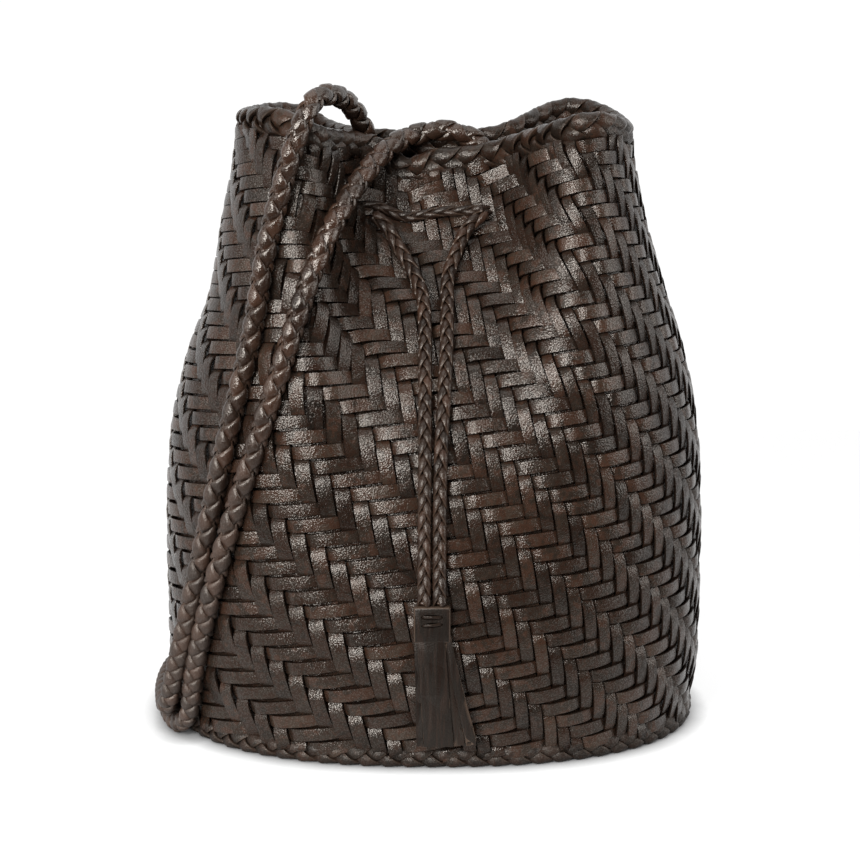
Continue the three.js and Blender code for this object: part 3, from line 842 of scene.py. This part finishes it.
def leather_finish(name, context):
    """A finish is made once and used by all its pieces."""
    made = bpy.data.materials.get(name)
    return made or make_finish(name, context.scene.woven_bag_leather, **FINISHES[name])


# Weave


def twill_phases(first, last):
    """Places along a strip, in strip spacings, where its twill needs a section."""
    steps = sorted({round(sign * step, 4) for step in TWILL_STEPS for sign in (-1, 1)})
    steps = np.array(steps[1:])
    repeats = np.arange(math.floor(first / TWILL) - 1, math.ceil(last / TWILL) + 2) * TWILL
    places = (repeats[:, None] + steps[None, :]).ravel()
    return places[(places >= first) & (places < last)]


def float_shape(ahead, weave):
    """Offset of a strip from the wall at a place ahead of the middle of its float, and its width share."""
    away = np.abs(ahead)
    over = weave.relief * np.tanh((FLOAT_HALF - away) / CROSSING_LENGTH)
    past_crown = ahead - weave.lead
    head = np.clip(past_crown / (FLOAT_HALF - weave.lead), 0.0, 1.0)
    tail = np.clip(-past_crown / (FLOAT_HALF + weave.lead), 0.0, 1.0)
    over = over + weave.arch * (1.0 - head**2 - tail**TAIL_CURVE)
    under = (2.0 * FLOAT_HALF - away) / FLOAT_HALF
    over = over - UNDER_DIP * weave.arch * np.clip(1.0 - under**2, 0.0, 1.0)
    breadth = 1.0 - CROSSING_PINCH * np.exp(-(((away - FLOAT_HALF) / PINCH_LENGTH) ** 2))
    breadth = breadth + UNDER_SPREAD * smooth_step(*UNDER_SPAN, away)
    return over, breadth


def row_rise(u, weave):
    """How far a level row stands above its mean height."""
    return weave.row_rise / WALL.height * np.sin(2.0 * math.pi * (u + ROW_START))


def crowded(u, weave):
    """Place round the bag, counted by upright strips."""
    return u + weave.crowding * (1.0 - np.cos(4.0 * math.pi * u)) / (4.0 * math.pi)


def crowding_at(u, weave):
    """How much closer than the mean the upright strips stand."""
    return 1.0 + weave.crowding * np.sin(4.0 * math.pi * u)


def warp_place(u, v, weave):
    """Upright strips counted at a point of the wall."""
    return weave.warps * (crowded(u, weave) - weave.lean * (LEAN_LEVEL - v)) - 0.5


def weft_place(u, v, weave):
    """Level strips counted at a point of the wall."""
    return weave.wefts * (v - row_rise(u, weave)) - 0.5


def weave_wefts(skein, weave, rng):
    """Level strips, each over three upright strips and under three."""
    fine = np.linspace(0.0, 1.0, ROUND_SAMPLES)
    rise = row_rise(fine, weave)
    pitch = WALL.height / weave.wefts
    lowest = math.floor(weft_place(0.0, 0.0, weave)) - 2
    for i in range(lowest, weave.wefts + 3):
        level = (i + 0.5) / weave.wefts
        place = warp_place(fine, level + rise, weave)
        middle = WEFT_MIDDLE - i
        phases = twill_phases(place[0] - middle, place[-1] - middle) + middle
        u = np.interp(phases, place, fine)
        from_middle = (phases - middle + TWILL / 2) % TWILL - TWILL / 2
        away = np.abs(from_middle)
        offset, breadth = float_shape(-from_middle, weave)
        saw = np.where(away <= FLOAT_HALF, from_middle, np.sign(from_middle) * (TWILL / 2 - away))
        v = level + row_rise(u, weave)
        local = WALL.round_at(v) / weave.warps
        v = v + weave.float_tilt * saw * local / WALL.height
        numbers = np.floor((phases - middle + FLOAT_HALF) / TWILL).astype(int)
        numbers = (numbers - numbers.min()) % (weave.warps // TWILL)
        # Painted light: level strips take a lighter mean tone than upright ones
        tone = rng.normal(WEFT_TONE_PAINTED_LIGHTER, STRIP_TONE_SPREAD)
        shades = rng.normal(tone, FLOAT_TONE_SPREAD, weave.warps // TWILL + 1)
        inside = (v > FOOT_TUCK) & (v < MOUTH_TUCK)
        if not inside.any():
            continue
        closed = bool(inside.all())
        order = np.arange(len(u))
        if not closed:
            first = int(np.argmax(inside & ~np.roll(inside, 1)))
            order = np.roll(order, -first)[:int(inside.sum())]
            if len(order) < FEWEST_SECTIONS:
                continue
        points, normals = WALL.at(u[order], v[order])
        centres = points + normals * offset[order][:, None]
        width = weave.cover * pitch * breadth[order]
        skein.add(centres, normals, width, weave.thickness, shades[numbers[order]], STRIP_SECTION, closed)


def weave_warps(skein, weave, rng):
    """Upright strips that lean a little, each under three level strips and over three."""
    turns = np.linspace(-1.0, 2.0, TURN_SAMPLES)
    counted = crowded(turns, weave)
    fine = np.linspace(FOOT_TUCK, MOUTH_TUCK, RISE_SAMPLES)
    for j in range(weave.warps):
        leaning = (j + 0.5) / weave.warps + weave.lean * (LEAN_LEVEL - fine)
        u_fine = np.interp(leaning, counted, turns)
        place = weft_place(u_fine, fine, weave)
        middle = WARP_MIDDLE - j
        phases = twill_phases(place[0] - middle, place[-1] - middle) + middle
        phases = np.concatenate([[place[0]], phases[1:-1], [place[-1]]])
        v = np.interp(phases, place, fine)
        u = np.interp(v, fine, u_fine)
        ahead = (phases - middle + TWILL / 2) % TWILL - TWILL / 2
        offset, breadth = float_shape(ahead, weave)
        numbers = np.floor((phases - middle + FLOAT_HALF) / TWILL).astype(int)
        numbers = numbers - numbers.min()
        # Painted shade: upright strips take a darker mean tone than level ones
        tone = rng.normal(WARP_TONE_PAINTED_DARKER, STRIP_TONE_SPREAD)
        shades = rng.normal(tone, FLOAT_TONE_SPREAD, numbers.max() + 1)
        pitch = WALL.round_at(v) / weave.warps / crowding_at(u, weave)
        points, normals = WALL.at(u, v)
        centres = points + normals * offset[:, None]
        width = weave.cover * pitch * breadth
        skein.add(centres, normals, width, weave.thickness, shades[numbers], STRIP_SECTION, False)


def weave_base(skein, weave, rng):
    """Flat twill inside the foot plait."""
    pitch = WALL.height / weave.wefts
    middle_z = BASE_THICKNESS / 2.0
    relief = BASE_RELIEF * weave.relief
    half_width = FOOT_HALF_WIDTH - BASE_INSET
    half_depth = FOOT_HALF_DEPTH - BASE_INSET
    thickness = BASE_STRIP * weave.thickness
    down = np.array((0.0, 0.0, -1.0))
    for lengthways in (True, False):
        wide, deep = (half_depth, half_width) if lengthways else (half_width, half_depth)
        count = int(wide / pitch)
        for i in range(-count, count + 1):
            reach = deep * (1.0 - min(1.0, abs(i * pitch) / wide) ** SQUARENESS) ** (1.0 / SQUARENESS)
            reach = reach - BASE_TRIM * pitch
            if reach < BASE_SHORTEST * pitch:
                continue
            places = np.linspace(-reach, reach, int(4 * reach / pitch) * 2)
            counted = places / pitch + i
            middle = WEFT_MIDDLE if lengthways else WARP_MIDDLE
            away = np.abs((counted - middle + TWILL / 2) % TWILL - TWILL / 2)
            offset = relief * np.tanh((FLOAT_HALF - away) / BASE_CROSSING)
            across = np.full_like(places, i * pitch)
            level = middle_z - offset
            if lengthways:
                centres = np.stack([places, across, level], axis=-1)
            else:
                centres = np.stack([across, places, level], axis=-1)
            normals = np.broadcast_to(down, centres.shape)
            shade = rng.normal(BASE_TONE, BASE_TONE_SPREAD)
            skein.add(centres, normals, weave.cover * pitch, thickness, shade, STRIP_SECTION, False)


# Plaited edges and the neck ring


def rim_line(steps):
    """Line of the rim on top of the wall, and its outward directions."""
    u = np.arange(steps) / steps
    points, normals = WALL.at(u, np.ones(steps))
    line = points - normals * RIM_INSET
    line[:, 2] += RIM_LIFT + RIM_HEIGHT / 2.0
    return line, normals


def foot_line(steps):
    """Line of the foot plait on the floor, and its outward directions."""
    angles = np.linspace(0.0, 2.0 * math.pi, FINE_ANGLES + 1)
    x, y = oval(FOOT_HALF_WIDTH, FOOT_HALF_DEPTH, angles)
    loop = np.stack([x, y, np.full_like(x, FOOT_HEIGHT / 2.0)], axis=-1)
    line, _ = even_loop(loop, steps)
    along = np.roll(line, -2, axis=0) - np.roll(line, 2, axis=0)
    out = unit(np.cross(along, (0.0, 0.0, 1.0)))
    return line, out


def neck_line(steps):
    """Inside the wall all round, and outside it between the two front holes."""
    total = float(WALL.round_at(NECK_V))
    u = np.arange(steps) / steps - 0.5
    points, normals = WALL.at(u, np.full(steps, NECK_V))
    front = np.abs(u) < 0.25
    left_hole = np.interp(NECK_LEFT_HOLE, points[front, 0], u[front]) * total
    right_hole = np.interp(NECK_RIGHT_HOLE, points[front, 0], u[front]) * total
    place = u * total
    past_left = smooth_step(left_hole - NECK_CROSSING, left_hole + NECK_CROSSING, place)
    before_right = 1.0 - smooth_step(right_hole - NECK_CROSSING, right_hole + NECK_CROSSING, place)
    outside = np.minimum(past_left, before_right)
    offset = -NECK_INSIDE + (NECK_OUTSIDE + NECK_INSIDE) * outside
    line = points + normals * offset[:, None]
    out = unit(np.cross(along_line(line, True), (0.0, 0.0, 1.0)))
    return line, out


def plait_ring(ring_line, repeats, repeat_steps, strands, rng):
    """A flat plait laid round a closed line."""
    steps = repeats * repeat_steps
    line, out = ring_line(steps)
    turn = np.arange(steps) / steps * repeats * 2.0 * math.pi
    skein = Skein()
    flat_plait(skein, line, out, turn, rng=rng, closed=True, **strands)
    return skein


# Stage


def aim_at(thing, target):
    """Turns a light or a camera towards a point."""
    gaze = np.array(target) - np.array(thing.location)
    level = math.hypot(gaze[0], gaze[1])
    thing.rotation_euler = (math.atan2(level, -gaze[2]), 0.0, math.atan2(-gaze[0], gaze[1]))


def area_light(name, place, size, power):
    bpy.ops.object.select_all(action="DESELECT")
    bpy.ops.object.light_add(type="AREA", location=place)
    light = bpy.context.object
    light.name = name
    light.data.shape = "RECTANGLE"
    light.data.size = size[0]
    light.data.size_y = size[1]
    light.data.energy = power
    aim_at(light, LIGHT_AIM)


class WOVENBAG_OT_stage(bpy.types.Operator):
    """Sets the camera, the pale floor and the soft studio light"""

    bl_idname = "woven_bag.set_stage"
    bl_label = "Set the Stage"

    def execute(self, context):
        stage = context.scene.woven_bag_stage
        bpy.ops.object.select_all(action="DESELECT")
        bpy.ops.object.camera_add(location=CAMERA_PLACE)
        camera = context.object
        camera.name = "photo_camera"
        camera.data.sensor_width = SENSOR_WIDTH
        camera.data.lens = SENSOR_WIDTH * CAMERA_FOCUS_PIXELS / IMAGE_PIXELS
        camera.data.clip_start = CAMERA_NEAR
        camera.data.clip_end = CAMERA_FAR
        aim_at(camera, CAMERA_AIM)
        context.scene.camera = camera
        bpy.ops.object.select_all(action="DESELECT")
        bpy.ops.mesh.primitive_plane_add(size=FLOOR_SIZE, location=FLOOR_MIDDLE)
        bpy.ops.object.transform_apply(location=True, rotation=True, scale=True)
        floor = context.object
        floor.name = "floor"
        paper = bpy.data.materials.new("floor_paper")
        paper.use_nodes = True
        tree = paper.node_tree
        # Painted shade: the floor's glow is dimmed by ambient occlusion where things stand on the floor
        painted_contact_shade = add_node(tree, "ShaderNodeAmbientOcclusion", {"Distance": stage.painted_shade_reach})
        shade = calculate(tree, "POWER", painted_contact_shade.outputs["AO"], PAINTED_SHADE_DEPTH)
        set_inputs(tree, tree.nodes["Principled BSDF"], {
            "Base Color": (*stage.floor_colour, 1.0), "Roughness": FLOOR_ROUGHNESS,
            "Specular IOR Level": FLOOR_GLOSS, "Emission Color": WHITE,
            "Emission Strength": calculate(tree, "MULTIPLY", shade, stage.floor_glow)})
        floor.data.materials.append(paper)
        world = bpy.data.worlds.new("studio_light")
        context.scene.world = world
        world.use_nodes = True
        tree = world.node_tree
        direction = add_node(tree, "ShaderNodeTexCoord", {}).outputs["Generated"]
        depth = add_node(tree, "ShaderNodeSeparateXYZ", {"Vector": direction}).outputs["Y"]
        strength = map_range(tree, depth, BACKDROP_SPAN, (stage.front_strength, stage.back_strength))
        set_inputs(tree, tree.nodes["Background"], {"Color": WHITE, "Strength": strength})
        for name, place, size, power in LIGHTS:
            area_light(name, place, size, getattr(stage, power))
        context.scene.view_settings.view_transform = "Standard"
        context.scene.view_settings.look = "None"
        return {"FINISHED"}


class WOVENBAG_OT_strap(bpy.types.Operator):
    """Plaits the round shoulder strap along its route"""

    bl_idname = "woven_bag.plait_strap"
    bl_label = "Plait the Shoulder Strap"

    def execute(self, context):
        plaits = context.scene.woven_bag_plaits
        line, places = smooth_line(STRAP_ROUTE, plaits.strap_turn / STRAP_STEPS)
        height = line[:, 2]
        stretch = STRAP_TIGHT + (STRAP_SLACK - STRAP_TIGHT) * smooth_step(*STRAP_SLACK_HEIGHTS, height)
        width = STRAND_WIDTH * np.minimum(1.0, stretch / STRAND_FULL_STRETCH)
        turn = 2.0 * math.pi * np.cumsum(np.gradient(places) / (plaits.strap_turn * stretch))
        front = front_angles(line, places, [(STRAP_ROUTE[k], angle) for k, angle in STRAP_FRONTS])
        snug = FLOOR_SNUG + (1.0 - FLOOR_SNUG) * smooth_step(*SNUG_HEIGHTS, height)
        skein = Skein()
        round_plait(
            skein, line, turn, front, STRAP_RADIUS * snug, STRAP_SWELL, width, STRAND_THICKNESS,
            np.random.default_rng(SEEDS["strap"]))
        finish = leather_finish("strap_finish", context)
        strap = skein.piece("strap_plait", finish, "strap_leather", "shoulder_strap")
        return {"FINISHED"}


class WOVENBAG_OT_tassel(bpy.types.Operator):
    """Cuts the tassel's panel and fringe"""

    bl_idname = "woven_bag.cut_tassel"
    bl_label = "Cut the Tassel"

    def execute(self, context):
        parts = [tassel_panel(), tassel_stitches()]
        parts += [tassel_strip(strip) for strip in TASSEL_STRIPS]
        bpy.ops.object.select_all(action="DESELECT")
        for part in parts:
            part.select_set(True)
        context.view_layer.objects.active = parts[0]
        bpy.ops.object.join()
        tassel = context.object
        tassel.name = "tassel_fringe"
        tassel.data.name = "tassel_fringe"
        bpy.ops.object.transform_apply(location=True, rotation=True, scale=True)
        tassel.data.materials.clear()
        tassel.data.materials.append(leather_finish("tassel_finish", context))
        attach(tassel, BODY)
        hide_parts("tassel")
        return {"FINISHED"}


def tint(piece, tone, middle_y, depth, inner_half):
    """Gives a piece of the tassel its tone, pale cut edges at its sides, and painted shade, its darkest tone,
    on the walls of the slits inside them.
    """
    mesh = piece.data
    corners = np.empty(3 * len(mesh.vertices))
    mesh.vertices.foreach_get("co", corners)
    x, y, _ = corners.reshape(-1, 3).T
    sunk = np.abs(y - middle_y) < depth / 2.0 - NEARLY
    inside = np.abs(x - TASSEL_MIDDLE) < inner_half
    # Painted shade on the walls of the slits; the other sunk points are pale cut edges
    tones = np.where(sunk & inside, SLIT_PAINTED_SHADE_TONE, tone)
    cuts = np.where(sunk & ~inside, 1.0, 0.0)
    for key, values in (("tone", tones), ("edge", cuts)):
        layer = mesh.attributes.new(key, "FLOAT", "POINT")
        layer.data.foreach_set("value", values.astype(np.float32))


def tassel_panel():
    """The folded panel above the cuts, rounded at its edges."""
    bpy.ops.object.select_all(action="DESELECT")
    middle_z = TASSEL_TOP - TASSEL_PANEL_HEIGHT / 2.0
    bpy.ops.mesh.primitive_cube_add(size=1.0, location=(TASSEL_MIDDLE, TASSEL_Y, middle_z))
    panel = bpy.context.object
    panel.scale = (TASSEL_WIDTH, TASSEL_DEPTH, TASSEL_PANEL_HEIGHT)
    bpy.ops.object.transform_apply(location=True, rotation=True, scale=True)
    bpy.ops.object.mode_set(mode="EDIT")
    bpy.ops.mesh.select_all(action="SELECT")
    bpy.ops.mesh.bevel(offset=PANEL_BEVEL, segments=BEVEL_SEGMENTS)
    bpy.ops.object.mode_set(mode="OBJECT")
    front = TASSEL_Y - TASSEL_DEPTH / 2.0
    for left_z, right_z in TASSEL_STITCHES:
        bpy.ops.object.select_all(action="DESELECT")
        bpy.ops.mesh.primitive_uv_sphere_add(
            segments=32, ring_count=12, radius=1.0, location=(TASSEL_MIDDLE, front, (left_z + right_z) / 2.0),
            rotation=(0.0, math.atan2(left_z - right_z, 2.0 * SLIT_HALF), 0.0))
        cutter = bpy.context.object
        cutter.scale = (SLIT_HALF, SLIT_DEPTH, SLIT_RISE)
        slit = panel.modifiers.new("slit", "BOOLEAN")
        slit.operation = "DIFFERENCE"
        slit.object = cutter
        bpy.context.view_layer.objects.active = panel
        bpy.ops.object.modifier_apply(modifier="slit")
        bpy.data.objects.remove(cutter, do_unlink=True)
    bpy.ops.object.select_all(action="DESELECT")
    panel.select_set(True)
    bpy.ops.object.shade_smooth_by_angle(angle=CREASE_ANGLE)
    tint(panel, TASSEL_TONE, TASSEL_Y, TASSEL_DEPTH, TASSEL_WIDTH / 2.0 - PANEL_CUT_EDGE)
    return panel


def tassel_strip(strip):
    """One fringe strip, drawn down from the panel edge by edge and given its thickness."""
    top_left, top_right, foot_left, foot_right, layer, tone = strip
    panel_foot = TASSEL_TOP - TASSEL_PANEL_HEIGHT
    bpy.ops.object.select_all(action="DESELECT")
    bpy.ops.mesh.primitive_plane_add(size=1.0, rotation=(math.pi / 2.0, 0.0, 0.0))
    piece = bpy.context.object
    piece.scale = (top_right - top_left, TASSEL_TUCK, 1.0)
    piece.location = ((top_left + top_right) / 2.0, TASSEL_Y + layer, panel_foot + TASSEL_TUCK / 2.0)
    bpy.ops.object.transform_apply(location=True, rotation=True, scale=True)
    bpy.ops.object.mode_set(mode="EDIT")
    mesh = bmesh.from_edit_mesh(piece.data)
    for edge in mesh.edges:
        edge.select_set(False)
    for edge in mesh.edges:
        if all(corner.co.z < panel_foot + NEARLY for corner in edge.verts):
            edge.select_set(True)
    bmesh.update_edit_mesh(piece.data)
    left = top_left
    right = top_right
    drop = (panel_foot - TASSEL_FOOT) / STRIP_STEPS
    for step in range(1, STRIP_STEPS + 1):
        spread = (step / STRIP_STEPS) ** STRIP_SPREAD
        new_left = top_left + (foot_left - top_left) * spread
        new_right = top_right + (foot_right - top_right) * spread
        shift = (new_left + new_right - left - right) / 2.0
        bpy.ops.mesh.extrude_region_move(TRANSFORM_OT_translate={"value": (shift, 0.0, -drop)})
        grow = (new_right - new_left) / (right - left)
        middle = ((new_left + new_right) / 2.0, TASSEL_Y + layer, panel_foot - step * drop)
        bpy.ops.transform.resize(value=(grow, 1.0, 1.0), center_override=middle)
        left = new_left
        right = new_right
    bpy.ops.object.mode_set(mode="OBJECT")
    thicken = piece.modifiers.new("thickness", "SOLIDIFY")
    thicken.thickness = STRIP_DEPTH
    thicken.offset = 0.0
    soften = piece.modifiers.new("soft_edges", "BEVEL")
    soften.width = STRIP_BEVEL
    soften.segments = BEVEL_SEGMENTS
    for modifier in ("thickness", "soft_edges"):
        bpy.ops.object.modifier_apply(modifier=modifier)
    bpy.ops.object.shade_smooth_by_angle(angle=CREASE_ANGLE)
    tint(piece, tone, TASSEL_Y + layer, STRIP_DEPTH, 0.0)
    return piece


def tassel_stitches():
    """Two stitches of thong that bulge out of the slits in the front of the panel."""
    skein = Skein()
    share = np.linspace(-1.0, 1.0, STITCH_STEPS)
    facing = np.broadcast_to((0.0, -1.0, 0.0), (len(share), 3))
    bulge = 1.0 - share**2
    x = TASSEL_MIDDLE + STITCH_REACH * SLIT_HALF * share
    y = TASSEL_Y - TASSEL_DEPTH / 2.0 + STITCH_SINK * SLIT_DEPTH * (1.0 - STITCH_BULGE * bulge)
    for left_z, right_z in TASSEL_STITCHES:
        z = left_z + (right_z - left_z) * (share + 1.0) / 2.0
        centres = np.stack([x, y, z], axis=-1)
        skein.add(centres, facing, STITCH_WIDTH, STITCH_THICKNESS, STITCH_TONE, STRIP_SECTION, False)
    stitches = bpy.data.objects.new("tassel_stitches", skein.mesh("tassel_stitches"))
    bpy.context.scene.collection.objects.link(stitches)
    return stitches


class WOVENBAG_OT_drawstring(bpy.types.Operator):
    """Plaits the drawstring round the neck and its two hanging ends"""

    bl_idname = "woven_bag.plait_drawstring"
    bl_label = "Plait the Drawstring"

    def execute(self, context):
        plaits = context.scene.woven_bag_plaits
        finish = leather_finish("drawstring_finish", context)
        rng = np.random.default_rng(SEEDS["drawstring"])
        skein = plait_ring(neck_line, plaits.neck_repeats, DRAWSTRING_STEPS, NECK_STRANDS, rng)
        skein.piece("neck_plait", finish, "drawstring_leather", "drawstring_neck")
        ends = (
            ("left", DRAWSTRING_LEFT_ROUTE, DRAWSTRING_LEFT_LENGTH),
            ("right", DRAWSTRING_RIGHT_ROUTE, DRAWSTRING_RIGHT_LENGTH),
        )
        facing = np.array(DRAWSTRING_FACING)
        for side, route, length in ends:
            line, places = smooth_line(route, plaits.drawstring_repeat / DRAWSTRING_STEPS)
            out = np.broadcast_to(facing, line.shape)
            turn = 2.0 * math.pi * places / plaits.drawstring_repeat
            skein = Skein()
            flat_plait(skein, line, out, turn, rng=rng, closed=False, **DRAWSTRING_STRANDS)
            cord = skein.piece(f"drawstring_{side}_plait", finish, "drawstring_leather", f"drawstring_{side}")
        return {"FINISHED"}


class WOVENBAG_OT_wall(bpy.types.Operator):
    """Weaves the wall of the bag from level and upright strips"""

    bl_idname = "woven_bag.weave_wall"
    bl_label = "Weave the Wall"

    def execute(self, context):
        weave = context.scene.woven_bag_weave
        finish = leather_finish("strip_finish", context)
        for name, weaving in (("wefts", weave_wefts), ("warps", weave_warps)):
            skein = Skein()
            weaving(skein, weave, np.random.default_rng(SEEDS[name]))
            skein.piece(f"wall_{name}", finish, "woven_leather", "woven_wall")
        return {"FINISHED"}


class WOVENBAG_OT_base(bpy.types.Operator):
    """Weaves the flat base"""

    bl_idname = "woven_bag.weave_base"
    bl_label = "Weave the Base"

    def execute(self, context):
        skein = Skein()
        weave_base(skein, context.scene.woven_bag_weave, np.random.default_rng(SEEDS["base"]))
        skein.piece("base_weave", leather_finish("strip_finish", context), "base_leather", "base_panel")
        return {"FINISHED"}


class WOVENBAG_OT_edges(bpy.types.Operator):
    """Plaits the rim and the foot"""

    bl_idname = "woven_bag.plait_edges"
    bl_label = "Plait the Edges"

    def execute(self, context):
        plaits = context.scene.woven_bag_plaits
        finish = leather_finish("edge_finish", context)
        rng = np.random.default_rng(SEEDS["rim"])
        skein = plait_ring(rim_line, plaits.rim_repeats, RIM_STEPS, RIM_STRANDS, rng)
        skein.piece("rim_plait", finish, "edge_leather", "rim_braid")
        rng = np.random.default_rng(SEEDS["foot"])
        skein = plait_ring(foot_line, plaits.foot_repeats, FOOT_STEPS, FOOT_STRANDS, rng)
        skein.piece("foot_plait", finish, "edge_leather", "base_braid")
        return {"FINISHED"}


class WOVENBAG_PT_panel(bpy.types.Panel):
    """Lists the steps and settings of the woven bag"""

    bl_idname = "WOVENBAG_PT_panel"
    bl_label = "Woven Bag"
    bl_space_type = "VIEW_3D"
    bl_region_type = "UI"
    bl_category = "Woven Bag"

    def draw(self, context):
        layout = self.layout
        for operator in OPERATORS:
            layout.operator(operator.bl_idname)
        for key, group in SETTINGS:
            box = layout.box()
            for name in group.__annotations__:
                box.prop(getattr(context.scene, key), name)


SETTINGS = (
    ("woven_bag_weave", WovenBagWeave),
    ("woven_bag_plaits", WovenBagPlaits),
    ("woven_bag_leather", WovenBagLeather),
    ("woven_bag_stage", WovenBagStage),
)
OPERATORS = (
    WOVENBAG_OT_stage,
    WOVENBAG_OT_strap,
    WOVENBAG_OT_tassel,
    WOVENBAG_OT_drawstring,
    WOVENBAG_OT_wall,
    WOVENBAG_OT_base,
    WOVENBAG_OT_edges,
)


def register():
    for key, group in SETTINGS:
        bpy.utils.register_class(group)
        setattr(bpy.types.Scene, key, bpy.props.PointerProperty(type=group))
    for operator in OPERATORS:
        bpy.utils.register_class(operator)
    bpy.utils.register_class(WOVENBAG_PT_panel)


def unregister():
    bpy.utils.unregister_class(WOVENBAG_PT_panel)
    for operator in reversed(OPERATORS):
        bpy.utils.unregister_class(operator)
    for key, group in reversed(SETTINGS):
        delattr(bpy.types.Scene, key)
        bpy.utils.unregister_class(group)


def main():
    register()
    bpy.ops.woven_bag.set_stage()
    bpy.ops.woven_bag.plait_strap()
    bpy.ops.woven_bag.cut_tassel()
    bpy.ops.woven_bag.plait_drawstring()
    bpy.ops.woven_bag.weave_wall()
    bpy.ops.woven_bag.weave_base()
    bpy.ops.woven_bag.plait_edges()
    bpy.context.view_layer.update()


if __name__ == "__main__":
    main()
